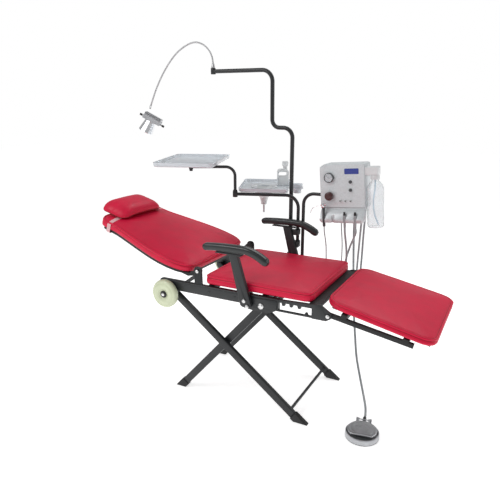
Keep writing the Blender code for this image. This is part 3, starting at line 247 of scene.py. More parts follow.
def make_materials():
    material("floor", (0.93, 0.93, 0.93), 0.6, vary=0.008, vary_scale=1.5,
        bump=("fine", 300, 0.0002, 0.1))
    material("leather", (0.66, 0.006, 0.048), 0.44, vary=0.07, vary_scale=14, coat=0.03, specular=0.28,
        bump=("grain", 620, 0.0004, 0.35), rough_vary=0.06)
    material("leather_seam", (0.3, 0.003, 0.018), 0.6, vary=0.12, vary_scale=60,
        bump=("grain", 620, 0.0004, 0.35))
    material("powder", (0.013, 0.015, 0.017), 0.4, vary=0.25, vary_scale=20, coat=0.06,
        bump=("fine", 1500, 0.0002, 0.25), specks=((0.07, 0.075, 0.08), 420, 0.68))
    material("board", (0.014, 0.014, 0.015), 0.6, vary=0.2, vary_scale=40,
        bump=("fine", 700, 0.0004, 0.4))
    material("arm_plastic", (0.012, 0.016, 0.017), 0.3, vary=0.2, vary_scale=18, coat=0.15,
        bump=("grain", 900, 0.0002, 0.22))
    material("black_plastic", (0.014, 0.014, 0.015), 0.38, vary=0.2, vary_scale=30,
        bump=("fine", 1200, 0.0002, 0.3))
    material("rubber", (0.016, 0.016, 0.017), 0.62, vary=0.2, vary_scale=30,
        bump=("fine", 900, 0.0003, 0.4), specks=((0.05, 0.05, 0.048), 160, 0.66))
    material("steel", (0.78, 0.78, 0.78), 0.3, metallic=1.0, vary=0.06, vary_scale=90,
        bump=("fine", 700, 0.0001, 0.2), rough_vary=0.08)
    material("chrome", (0.8, 0.8, 0.82), 0.1, metallic=1.0, vary=0.03, vary_scale=30, rough_vary=0.04)
    material("cast", (0.5, 0.51, 0.53), 0.4, metallic=0.85, vary=0.1, vary_scale=40,
        bump=("fine", 900, 0.0002, 0.35), specks=((0.3, 0.31, 0.32), 240, 0.68))
    material("ivory", (0.66, 0.71, 0.5), 0.34, vary=0.05, vary_scale=18, coat=0.15,
        bump=("fine", 400, 0.0002, 0.15), specks=((0.5, 0.53, 0.38), 120, 0.7))
    material("case", (0.66, 0.7, 0.72), 0.34, metallic=0.15, vary=0.07, vary_scale=150, coat=0.2,
        bump=("hammer", 330, 0.0005, 0.35))
    material("case_dark", (0.17, 0.18, 0.19), 0.45, vary=0.1, vary_scale=60,
        bump=("fine", 800, 0.0002, 0.3))
    material("frosted", (0.8, 0.84, 0.88), 0.22, vary=0.03, vary_scale=12, transmission=0.35, coat=0.2,
        bump=("fine", 500, 0.0002, 0.1))
    material("milky", (0.8, 0.82, 0.83), 0.3, vary=0.03, vary_scale=16, coat=0.15, transmission=0.15,
        bump=("fine", 350, 0.0002, 0.15))
    material("bottle_clear", (0.95, 0.965, 0.975), 0.2, vary=0.02, vary_scale=20, transmission=0.85,
        ior=1.25, rough_vary=0.04)
    material("tube_blue", (0.42, 0.58, 0.72), 0.25, vary=0.05, vary_scale=30, coat=0.2)
    material("hose", (0.36, 0.385, 0.4), 0.32, vary=0.08, vary_scale=60, coat=0.2,
        bump=("fine", 900, 0.0002, 0.2))
    material("strap", (0.83, 0.5, 0.52), 0.75, vary=0.1, vary_scale=60, bump=("weave", 420, 0.0005, 0.6))
    material("knob_red", (0.06, 0.01, 0.01), 0.3, vary=0.2, vary_scale=80, coat=0.3,
        bump=("fine", 900, 0.0002, 0.2))
    material("lens", (0.92, 0.95, 0.98), 0.05, vary=0.02, vary_scale=60, transmission=0.8,
        rough_vary=0.02)
    material("reflector", (0.82, 0.83, 0.85), 0.16, metallic=1.0, vary=0.05, vary_scale=80,
        rough_vary=0.05)
    material("gunmetal", (0.085, 0.088, 0.092), 0.36, metallic=0.7, vary=0.12, vary_scale=80,
        bump=("fine", 900, 0.0001, 0.25), specks=((0.2, 0.2, 0.2), 260, 0.7))
    material("flex", (0.42, 0.42, 0.43), 0.32, metallic=0.9, vary=0.08, vary_scale=60, rough_vary=0.06,
        bump=("fine", 900, 0.0001, 0.2))
    material("dial", (0.82, 0.83, 0.82), 0.35, vary=0.03, vary_scale=60, coat=0.3)
    material("ink", (0.02, 0.02, 0.022), 0.5, vary=0.1, vary_scale=60)
    material("label", (0.01, 0.03, 0.28), 0.3, vary=0.06, vary_scale=60, coat=0.4)


# ---------------------------------------------------------------- mesh helpers
def build(name, bm, mat, body, node=(), bevel=0.0, angle=32.0, place=None):
    """Makes the piece in the row frame, gives it its material, and lets it ride on its body."""
    if place is not None:
        bm.transform(place)
    bm.transform(Matrix.Translation(SHIFT))
    bmesh.ops.remove_doubles(bm, verts=bm.verts, dist=1e-6)
    bmesh.ops.recalc_face_normals(bm, faces=bm.faces)
    mesh = bpy.data.meshes.new(name)
    bm.to_mesh(mesh)
    bm.free()
    mesh.materials.append(M[mat])
    piece = bpy.data.objects.new(name, mesh)
    bpy.context.scene.collection.objects.link(piece)
    for poly in mesh.polygons:
        poly.use_smooth = True
    if bevel:
        edge = piece.modifiers.new("edges", "BEVEL")
        edge.width = bevel
        edge.segments = 3
        edge.limit_method = "ANGLE"
        edge.angle_limit = math.radians(angle)
        edge.harden_normals = True
    else:
        mesh.set_sharp_from_angle(angle=math.radians(angle))
    for one in [node] if isinstance(node, str) else node:
        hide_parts(one)
    if body:
        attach(piece, body)
    return piece


def bridge(bm, rings, closed_ends=True):
    """Faces between rings of vertices; the first and last are capped."""
    for a, b in zip(rings, rings[1:]):
        n = max(len(a), len(b))
        for i in range(n):
            j = (i + 1) % n
            if len(a) == 1:
                bm.faces.new((a[0], b[j], b[i]))
            elif len(b) == 1:
                bm.faces.new((a[i], a[j], b[0]))
            else:
                bm.faces.new((a[i], a[j], b[j], b[i]))
    if closed_ends:
        for ring in (rings[0], rings[-1]):
            if len(ring) > 2:
                bm.faces.new(ring)


def axes_of(direction):
    a = Vector(direction).normalized()
    hint = Vector(UP) if abs(a.z) < 0.9 else Vector((1, 0, 0))
    u = a.cross(hint).normalized()
    return a, u, a.cross(u).normalized()


def turned(origin, direction, profile, sides=56, bm=None, lobes=0, lobe_depth=0.0, lobe_span=(0, 1)):
    """A solid of revolution. profile is (distance along, radius); lobes ripple its radius for a grip."""
    a, u, w = axes_of(direction)
    o = Vector(origin)
    bm = bm or bmesh.new()
    rings = []
    for along, radius in profile:
        if radius < 1e-7:
            rings.append([bm.verts.new(o + a * along)])
            continue
        ring = []
        for k in range(sides):
            t = TAU * k / sides
            r = radius
            if lobes and lobe_span[0] <= along <= lobe_span[1]:
                r -= lobe_depth * (0.5 - 0.5 * math.cos(lobes * t)) ** 2
            ring.append(bm.verts.new(o + a * along + (u * math.cos(t) + w * math.sin(t)) * r))
        rings.append(ring)
    hollow = profile[0][1] > 1e-7 and profile[-1][1] > 1e-7
    if hollow:
        rings.append(rings[0])
    bridge(bm, rings, closed_ends=False)
    return bm


def rounded_cylinder(origin, direction, radius, length, edge=0.001, sides=40, bm=None, lobes=0,
        depth=0.0):
    profile = [(0, 0), (0, radius - edge), (edge * 0.3, radius - edge * 0.3), (edge, radius),
        (length - edge, radius), (length - edge * 0.3, radius - edge * 0.3), (length, radius - edge),
        (length, 0)]
    return turned(origin, direction, profile, sides, bm, lobes, depth, (edge * 0.9, length - edge * 0.9))


def block(bm, low, high, place=None):
    made = bmesh.ops.create_cube(bm, size=1.0)["verts"]
    for v in made:
        v.co = Vector([low[i] if v.co[i] < 0 else high[i] for i in range(3)])
    if place is not None:
        bmesh.ops.transform(bm, matrix=place, verts=made)
    return made


def plate(bm, outline, y0, y1, place=None):
    """An XZ outline given a thickness from y0 to y1."""
    rings = [[bm.verts.new((x, y, z)) for x, z in outline] for y in (y0, y1)]
    bridge(bm, rings)
    if place is not None:
        bmesh.ops.transform(bm, matrix=place, verts=[v for r in rings for v in r])


def smooth_route(points, step, closed=False):
    """Evenly spaced points on a Catmull-Rom curve through the route's own points."""
    p = [Vector(q) for q in points]
    if closed:
        ext = [p[-1]] + p + [p[0], p[1]]
    else:
        ext = [p[0] * 2 - p[1]] + p + [p[-1] * 2 - p[-2]]
    dense = []
    for i in range(1, len(ext) - 2):
        a, b, c, d = ext[i - 1:i + 3]
        for k in range(24):
            t = k / 24
            dense.append(0.5 * (2 * b + (c - a) * t + (2 * a - 5 * b + 4 * c - d) * t * t
                + (3 * b - a - 3 * c + d) * t ** 3))
    dense.append(dense[0].copy() if closed else p[-1])
    lengths = [(b - a).length for a, b in zip(dense, dense[1:])]
    total = sum(lengths)
    n = max(3, int(round(total / step)))
    out, run, k = [dense[0]], 0.0, 1
    for a, b, seg in zip(dense, dense[1:], lengths):
        while k < n and run + seg >= total * k / n:
            out.append(a.lerp(b, (total * k / n - run) / seg))
            k += 1
        run += seg
    if not closed:
        out.append(dense[-1])
    return out


def bent(points, radii, degrees=5.0):
    """Corner points joined by straight runs, each corner rounded to its radius."""
    pts = [Vector(p) for p in points]
    out = [pts[0]]
    for i in range(1, len(pts) - 1):
        p, a, b = pts[i], pts[i - 1], pts[i + 1]
        r = radii[i - 1] if isinstance(radii, (list, tuple)) else radii
        d1, d2 = (a - p).normalized(), (b - p).normalized()
        turn = math.pi - d1.angle(d2)
        cut = r * math.tan(turn / 2)
        centre = p + (d1 + d2).normalized() * (r / math.cos(turn / 2))
        v0, v1 = p + d1 * cut - centre, p + d2 * cut - centre
        n = max(3, int(round(math.degrees(turn) / degrees)))
        for k in range(n + 1):
            f = k / n
            v = (v0 * math.sin((1 - f) * turn) + v1 * math.sin(f * turn)) / math.sin(turn)
            out.append(centre + v)
    out.append(pts[-1])
    return out


def pipe(route, radius, sides=24, bm=None):
    """A round bar along a route; radius is a number or a function of (index, distance)."""
    bm = bm or bmesh.new()
    pts = [Vector(p) for p in route]
    _, u, _ = axes_of(pts[1] - pts[0])
    rings, run = [], 0.0
    for i, p in enumerate(pts):
        a, b = pts[max(i - 1, 0)], pts[min(i + 1, len(pts) - 1)]
        t = (b - a).normalized()
        if i:
            run += (p - pts[i - 1]).length
        u = (u - t * u.dot(t)).normalized()
        w = t.cross(u)
        r = radius(i, run) if callable(radius) else radius
        rings.append([bm.verts.new(p + (u * math.cos(TAU * k / sides)
            + w * math.sin(TAU * k / sides)) * r) for k in range(sides)])
    bridge(bm, rings)
    return bm


def rounded(corners, radius, steps=8):
    """A flat outline whose corners are arcs."""
    out = []
    m = len(corners)
    for i in range(m):
        p, a, b = Vector(corners[i]), Vector(corners[i - 1]), Vector(corners[(i + 1) % m])
        r = radius[i] if isinstance(radius, (list, tuple)) else radius
        if r <= 0:
            out.append((p.x, p.y))
            continue
        d1, d2 = (a - p).normalized(), (b - p).normalized()
        turn = math.pi - math.acos(max(-1.0, min(1.0, d1.dot(d2))))
        centre = p + (d1 + d2).normalized() * (r / math.cos(turn / 2))
        v0, v1 = p + d1 * r * math.tan(turn / 2) - centre, p + d2 * r * math.tan(turn / 2) - centre
        for k in range(steps + 1):
            f = k / steps
            v = (v0 * math.sin((1 - f) * turn) + v1 * math.sin(f * turn)) / math.sin(turn)
            out.append((centre.x + v.x, centre.y + v.y))
    return out


def axes_matrix(x, y, z, origin):
    """The frame with these axes, standing at origin."""
    return Matrix([[x[i], y[i], z[i], origin[i]] for i in range(3)] + [[0, 0, 0, 1]])


def panel_frame(pin, degrees, mirrored=False):
    """The frame of a tilted panel: x along it, z its normal."""
    c, s = math.cos(math.radians(degrees)), math.sin(math.radians(degrees))
    along = -c if mirrored else c
    tilt = s if mirrored else -s
    return Matrix(((along, 0, tilt, pin[0]), (0, 1, 0, 0), (s, 0, c, pin[1]), (0, 0, 0, 1)))


BACK = panel_frame(BACK_PIN, 16.0, mirrored=True)
LEG = panel_frame(LEGREST_PIN, -12.0)


# ---------------------------------------------------------------- upholstery
def anticlockwise(points):
    """The flat outline as vectors, run anticlockwise."""
    p = [Vector((q[0], q[1], 0)) for q in points]
    area = sum(p[i - 1].x * q.y - q.x * p[i - 1].y for i, q in enumerate(p))
    if area < 0:
        p.reverse()
    return p


def even_outline(points, count):
    """The closed outline resampled to evenly spaced points."""
    p = anticlockwise(points)
    sides = list(zip(p, p[1:] + p[:1]))
    gap = sum((b - a).length for a, b in sides) / count
    loop, run = [], 0.0
    for a, b in sides:
        span = (b - a).length
        while len(loop) < count and run + span > gap * len(loop):
            loop.append(a.lerp(b, (gap * len(loop) - run) / span))
        run += span
    return loop


def inward_normals(loop):
    out = []
    n = len(loop)
    for i in range(n):
        t = loop[(i + 1) % n] - loop[i - 1]
        out.append(Vector((-t.y, t.x, 0)).normalized())
    return out


def inset_ring(bm, loop, inward, inset, z):
    return [bm.verts.new((p.x + d.x * inset, p.y + d.y * inset, z)) for p, d in zip(loop, inward)]


def cushion(name, outline, low, ridge, crown, place, body, node, seed, count=320, bulge=0.0015,
        wrinkle=0.001):
    """An upholstered foam board: pulled-under bottom, boxed side, rounded welted edge, crowned top.

    low, ridge and crown are heights above the panel's plane.
    """
    loop = even_outline(outline, count)
    inward = inward_normals(loop)
    centre = sum(loop, Vector()) / len(loop)
    height = ridge - low
    profile = [(0.016, low), (0.008, low + 0.0003), (0.003, low + 0.0022), (0.0006, low + 0.006)]
    for k in range(1, 8):
        f = k / 8
        profile.append((0.0006 - bulge * math.sin(math.pi * f), low + 0.006 + (height - 0.024) * f))
    profile += [(0.0006, ridge - 0.017), (0.0016, ridge - 0.0145), (0.0046, ridge - 0.0125),
        (0.0048, ridge - 0.0112), (0.0018, ridge - 0.0096), (0.0002, ridge - 0.0066),
        (0.001, ridge - 0.003), (0.0034, ridge - 0.0008), (0.0066, ridge - 0.0004),
        (0.0094, ridge - 0.002), (0.0112, ridge - 0.003), (0.0132, ridge - 0.002),
        (0.0168, ridge - 0.0002), (0.024, ridge + 0.0012)]
    bm = bmesh.new()
    rings = [inset_ring(bm, loop, inward, inset, w) for inset, w in profile]
    shoulder = [v.co.copy() for v in rings[-1]]
    start = ridge + 0.0012
    for k in range(1, DOME_RINGS):
        rho = 1 - k / DOME_RINGS
        w = start + (crown - start) * (1 - rho ** 2.3)
        rings.append([
            bm.verts.new((centre.x + (q.x - centre.x) * rho, centre.y + (q.y - centre.y) * rho, w))
            for q in shoulder])
    rings.append([bm.verts.new((centre.x, centre.y, crown))])
    bridge(bm, rings, closed_ends=False)
    bm.faces.new(list(reversed(rings[0])))
    reach = max((p - centre).length for p in loop)
    bm.normal_update()
    moves = []
    for v in bm.verts:
        flat = Vector((v.co.x, v.co.y, 0)) - centre
        near_rim = min(1.0, (flat.length / reach)) ** 3
        slow = noise.noise(Vector((v.co.x * 9, v.co.y * 9, seed)))
        crease = noise.noise(Vector((v.co.x * 34, v.co.y * 34, v.co.z * 60 + seed * 3)))
        moves.append(v.normal * (slow * 0.0011 + crease * wrinkle * near_rim * near_rim))
    for v, m in zip(bm.verts, moves):
        if v.co.z > low + 0.004:
            v.co += m
    piece = build(name, bm, "leather", body, node, angle=80, place=place)
    for part, inset, w, radius in (("seam", 0.0044, ridge - 0.0118, 0.0011),
            ("stitch", 0.0112, ridge - 0.003, 0.0009)):
        line = [p + d * inset + Vector((0, 0, w)) for p, d in zip(loop, inward)]
        build(name + "_" + part, pipe(line + line[:2], radius, 8), "leather_seam", body,
            place=place)
    return piece


def make_cushions():
    cushion("seat_upholstery", rounded([(-0.15, -0.268), (0.392, -0.27), (0.392, 0.27), (-0.15, 0.268)],
        [0.03, 0.034, 0.034, 0.03]), 0.6212, 0.664, 0.68, Matrix.Identity(4), "seat_frame",
        "seat_cushion", 1.3)
    half = [(0.045, 0.215), (0.052, 0.248), (0.075, 0.272), (0.11, 0.288), (0.16, 0.296), (0.215, 0.296),
        (0.275, 0.289), (0.335, 0.277), (0.395, 0.263), (0.445, 0.251), (0.5, 0.238), (0.545, 0.2285),
        (0.575, 0.226), (0.618, 0.2255), (0.647, 0.218), (0.666, 0.196), (0.68, 0.16)]
    loop = half + [(0.684, 0.08), (0.685, 0.0), (0.684, -0.08)] + [(u, -y) for u, y in reversed(half)]
    loop += [(0.042, -0.14), (0.041, -0.05), (0.041, 0.05), (0.042, 0.14)]
    outline = smooth_route([(u, y, 0) for u, y in loop], 0.004, closed=True)
    back = cushion("backrest_upholstery", outline, -0.0358, 0.0025, 0.0275, BACK, "backrest",
        "backrest_cushion", 4.1, bulge=0.0)
    cushion("legrest_upholstery", rounded([(-0.03, -0.262), (0.44, -0.272), (0.44, 0.272),
        (-0.03, 0.262)], [0.07, 0.06, 0.06, 0.07]), 0.0362, 0.069, 0.086, LEG, "legrest",
        "legrest_cushion", 7.7)
    return back


def surface_of(piece, place):
    """A function giving the height of the piece's upper face over (u, y) of its panel, or None."""
    to_panel = (Matrix.Translation(SHIFT) @ place).inverted()
    points = [to_panel @ v.co for v in piece.data.vertices]
    tree = BVHTree.FromPolygons(points, [tuple(f.vertices) for f in piece.data.polygons])

    def height(u, y):
        hit = tree.ray_cast(Vector((u, y, 0.2)), Vector((0, 0, -1)))[0]
        return hit.z if hit else None

    return height


PILLOW_AT = 0.638
PILLOW_LONG = 0.163
PILLOW_WIDE = 0.087
PILLOW_TRAVEL = (-0.02, -0.01, 0.0, 0.01, 0.02, 0.03)


def make_pillow(top_of_back):
    """A soft bolster with a welt round its middle, drooping at its ends, held clear of the backrest."""
    loop = even_outline(rounded([(PILLOW_AT - PILLOW_WIDE, -PILLOW_LONG),
        (PILLOW_AT + PILLOW_WIDE, -PILLOW_LONG), (PILLOW_AT + PILLOW_WIDE, PILLOW_LONG),
        (PILLOW_AT - PILLOW_WIDE, PILLOW_LONG)], 0.044), 260)
    centre = Vector((PILLOW_AT, 0.0, 0.0))
    top, hang = 0.083, 0.008

    def seam_at(p):
        end = min(1.0, abs(p.y) / PILLOW_LONG)
        head = max(0.0, (p.x - PILLOW_AT) / PILLOW_WIDE)
        return 0.042 - 0.021 * end ** 3 - 0.005 * head ** 2

    bm = bmesh.new()
    upper, lower = [], []
    for k in range(DOME_RINGS + 1):
        rho = math.sin(math.pi / 2 * (1 - k / DOME_RINGS))
        rise = (1 - rho ** 2.4) ** 0.52
        sink = (1 - rho ** 4.0) ** 0.5
        flat = [centre] if k == DOME_RINGS else [centre + (p - centre) * rho for p in loop]
        upper.append([bm.verts.new((p.x, p.y, seam_at(p) + (top - seam_at(p)) * rise)) for p in flat])
        if k == 0:
            lower.append(upper[0])
            continue
        ring = []
        for p in flat:
            under = [h for h in (top_of_back(p.x - slide, p.y)
                for slide in PILLOW_TRAVEL) if h is not None]
            rest = max(under) + 0.0035 if under else hang
            ring.append(bm.verts.new((p.x, p.y, seam_at(p) + (rest - seam_at(p)) * sink)))
        lower.append(ring)
    bridge(bm, upper, closed_ends=False)
    bridge(bm, lower, closed_ends=False)
    bm.normal_update()
    moves = []
    for v in bm.verts:
        end = min(1.0, abs(v.co.y) / PILLOW_LONG) ** 4
        pucker = math.sin(v.co.x * 190 + 3.0 * noise.noise(v.co * 18))
        slow = noise.noise(Vector((v.co.x * 16, v.co.y * 10, 2.2)))
        moves.append(v.normal * (slow * 0.0018 + pucker * 0.0007 * end))
    for v, m in zip(bm.verts, moves):
        v.co += m
    piece = build("pillow_cover", bm, "leather", "headrest", "pillow", angle=80,
        place=BACK)
    welt = [Vector((p.x, p.y, seam_at(p))) + (p - centre).normalized() * -0.0012 for p in loop]
    build("pillow_welt", pipe(welt + welt[:2], 0.0021, 10), "leather_seam", "headrest",
        place=BACK)


def make_strap(top_of_back):
    """The elastic band that holds the pillow, drawn round the backrest."""
    low, high, half, thick = 0.584, 0.606, 0.2285, 0.0016
    middle = (low + high) / 2
    over = []
    for k in range(45):
        y = -0.214 + 0.428 * k / 44
        over.append((y, top_of_back(middle, y) + 0.0012))
    line = [(half, -0.006), (half, -0.05), (half - 0.0045, -0.0546), (-half + 0.0045, -0.0546),
        (-half, -0.05), (-half, -0.006), (-half + 0.005, over[0][1] - 0.004)]
    line += over + [(half - 0.005, over[-1][1] - 0.004)]
    path = even_outline(line, 260)
    inward = inward_normals(path)
    bm = bmesh.new()
    rings = []
    for u, inset in ((low, 0.0), (high, 0.0), (high, thick), (low, thick)):
        rings.append([bm.verts.new((u, p.x + d.x * inset, p.y + d.y * inset)) for p,
            d in zip(path, inward)])
    bridge(bm, rings + [rings[0]], closed_ends=False)
    build("elastic_band", bm, "strap", "headrest", "pillow_strap", angle=40, place=BACK)


# ---------------------------------------------------------------- CAD nodes that stay
def dress(name, mat, bevel=0.0008, angle=34.0, segments=2):
    """A CAD node keeps its shape and gets softened edges and a material."""
    ob = nodes[name]
    ob.data.materials.clear()
    ob.data.materials.append(M[mat])
    for poly in ob.data.polygons:
        poly.use_smooth = True
    weld = ob.modifiers.new("weld", "WELD")
    weld.merge_threshold = 0.00002
    edge = ob.modifiers.new("edges", "BEVEL")
    edge.width = bevel
    edge.segments = segments
    edge.limit_method = "ANGLE"
    edge.angle_limit = math.radians(angle)
    edge.harden_normals = True
    edge.use_clamp_overlap = True


def dress_frame():
    for side, _ in SIDES:
        dress("side_rail_" + side, "powder", 0.001)
        dress("armrest_post_" + side, "powder", 0.001)
        dress("outer_foot_" + side, "rubber", 0.0014)
        dress("inner_foot_" + side, "rubber", 0.0014)
    for name, mat, bevel in (("outer_leg_frame", "powder", 0.0012), ("inner_leg_frame", "powder", 0.0012),
            ("seat_subframe", "board", 0.0008), ("backrest_frame", "board", 0.001),
            ("legrest_frame", "board", 0.001), ("equipment_bracket", "powder", 0.001),
            ("bottle_holder", "milky", 0.001)):
        dress(name, mat, bevel)
    dress("turbine_unit_case", "case", 0.0012, segments=3)


# ---------------------------------------------------------------- wheels and bolts
def make_wheels():
    x, z = WHEEL_AXLE
    for side, s in SIDES:
        profile = [(0.0003, 0.0064), (0.0003, 0.018), (0.0022, 0.02), (0.0022, 0.052), (0.0003, 0.054),
            (0.0003, 0.061), (0.0016, 0.0655), (0.0045, 0.069), (0.0085, 0.0708), (0.015, 0.0712),
            (0.0215, 0.0706), (0.0262, 0.0686), (0.03, 0.065), (0.0322, 0.0608), (0.0328, 0.058),
            (0.0318, 0.0566), (0.0322, 0.0552), (0.0342, 0.052), (0.0355, 0.046), (0.0359, 0.04),
            (0.0352, 0.034), (0.0335, 0.029), (0.0305, 0.0245), (0.0287, 0.0215), (0.0285, 0.0064)]
        build("wheel_body_" + side, turned((x, s * 0.2795, z), (0, s, 0), profile, 72), "ivory",
            "wheel_" + side, "wheel_" + side, angle=50)
        cap = turned((x, s * 0.2545, z), (0, s, 0), [(0, 0), (0, 0.005), (0.0546, 0.005), (0.0546, 0.017),
            (0.0562, 0.0176), (0.058, 0.017), (0.059, 0.015), (0.0595, 0.011), (0.0588, 0.0095),
            (0.06, 0.0092), (0.06, 0.0)], 48)
        build("wheel_cap_" + side, cap, "black_plastic", "seat_frame", "wheel_hub_" + side,
            angle=40)
        bolt = turned((x, s * 0.3144, z), (0, s, 0), [(0, 0), (0, 0.0078), (0.0012, 0.0082),
            (0.0022, 0.0078), (0.0034, 0.0052), (0.0041, 0.0)], 32)
        build("wheel_bolt_" + side, bolt, "steel", "seat_frame", angle=40)


def domed_bolt(name, place, direction, radius, height, body, mat="steel", node=(), shank=0.0):
    """A domed bolt head on a thin washer, dished for the driver."""
    profile = [(0, 0), (0, radius * 1.18), (height * 0.16, radius * 1.2), (height * 0.24, radius * 1.12),
        (height * 0.26, radius * 0.98), (height * 0.5, radius), (height * 0.8, radius * 0.86),
        (height * 0.98, radius * 0.58), (height, radius * 0.42), (height * 0.78, radius * 0.34),
        (height * 0.78, 0)]
    if shank:
        profile = [(-shank, 0), (-shank, radius * 0.44), (0, radius * 0.44)] + profile[1:]
    build(name, turned(place, direction, profile, 32), mat, body, node, angle=38)


def make_bolts():
    for side, s in SIDES:
        domed_bolt("scissor_bolt_head_" + side, (SEAT_PIN[0], s * 0.2815, SEAT_PIN[1]), (0, s, 0), 0.0113,
            0.0068, "inner_legs", node="scissor_bolt_" + side, shank=0.063)
        for part, (x, z), out, height, body in (("arm_bolt_upper_", (0.085, 0.59), 0.3112, 0.005,
                ARMREST_BODY[side]), ("arm_bolt_lower_", (0.101, 0.566), 0.3112, 0.005,
                ARMREST_BODY[side]), ("backrest_bolt_", BACK_PIN, 0.2782, 0.0042, "backrest"),
                ("legrest_bolt_", LEGREST_PIN, 0.2787, 0.0042, "legrest")):
            domed_bolt(part + side, (x, s * out, z), (0, s, 0), 0.0072, height, body)
        for k, x in enumerate((-0.12, 0.02)):
            domed_bolt("rail_screw_%s_%d" % (side, k), (x, s * 0.2772, 0.588), (0, s, 0), 0.0034, 0.0022,
                "seat_frame", "powder")


# ---------------------------------------------------------------- armrests
def make_armrests():
    top = [(-0.128, 0.814), (-0.122, 0.826), (-0.104, 0.836), (-0.04, 0.8412), (0.04, 0.8438),
        (0.09, 0.8432), (0.125, 0.8355), (0.163, 0.8215), (0.19, 0.803), (0.2045, 0.787)]
    low = [(-0.1275, 0.812), (-0.118, 0.806), (-0.1, 0.8046), (-0.02, 0.809), (0.06, 0.809), (0.1, 0.806),
        (0.132, 0.797), (0.162, 0.78), (0.184, 0.77), (0.2035, 0.785)]
    spine = smooth_route([((a[0] + b[0]) / 2, 0, (a[1] + b[1]) / 2) for a, b in zip(top, low)], 0.006)
    n = len(spine)

    for side, s in SIDES:
        bm = bmesh.new()
        rings = []
        sides = 40
        for i, p in enumerate(spine):
            f = i / (n - 1)
            t = (spine[min(i + 1, n - 1)] - spine[max(i - 1, 0)]).normalized()
            up = Vector((-t.z, 0, t.x))
            near_end = min(f, 1 - f) / 0.05
            end = math.sqrt(1 - (1 - near_end) ** 2) if near_end < 1 else 1.0
            half = max(0.0008, (0.0172 + 0.0016 * max(0.0, f - 0.6) / 0.4) * end)
            wide = max(0.0008, 0.02 * (0.35 + 0.65 * end))
            ring = []
            for k in range(sides):
                a = TAU * k / sides
                ca, sa = math.cos(a), math.sin(a)
                y = wide * math.copysign(abs(ca) ** 0.72, ca)
                h = half * math.copysign(abs(sa) ** 0.72, sa)
                ring.append(bm.verts.new(p + up * h + Vector((0, y + s * 0.3005, 0))))
            rings.append(ring)
        bridge(bm, rings)
        build("arm_pad_" + side, bm, "arm_plastic", ARMREST_BODY[side], "armrest_pad_" + side,
            angle=70)


# ---------------------------------------------------------------- lamp
LAMP_TILT = math.radians(29.0)
ACROSS = Vector((0.885, 0.466, 0.0))
ALONG = Vector((-0.466, 0.885, 0.0))
LAMP_X = ACROSS * math.cos(LAMP_TILT) - Vector(UP) * math.sin(LAMP_TILT)
LAMP_Z = ACROSS * math.sin(LAMP_TILT) + Vector(UP) * math.cos(LAMP_TILT)
LAMP = axes_matrix(LAMP_X, ALONG, LAMP_Z, (-0.903, POLE[1], 1.352))


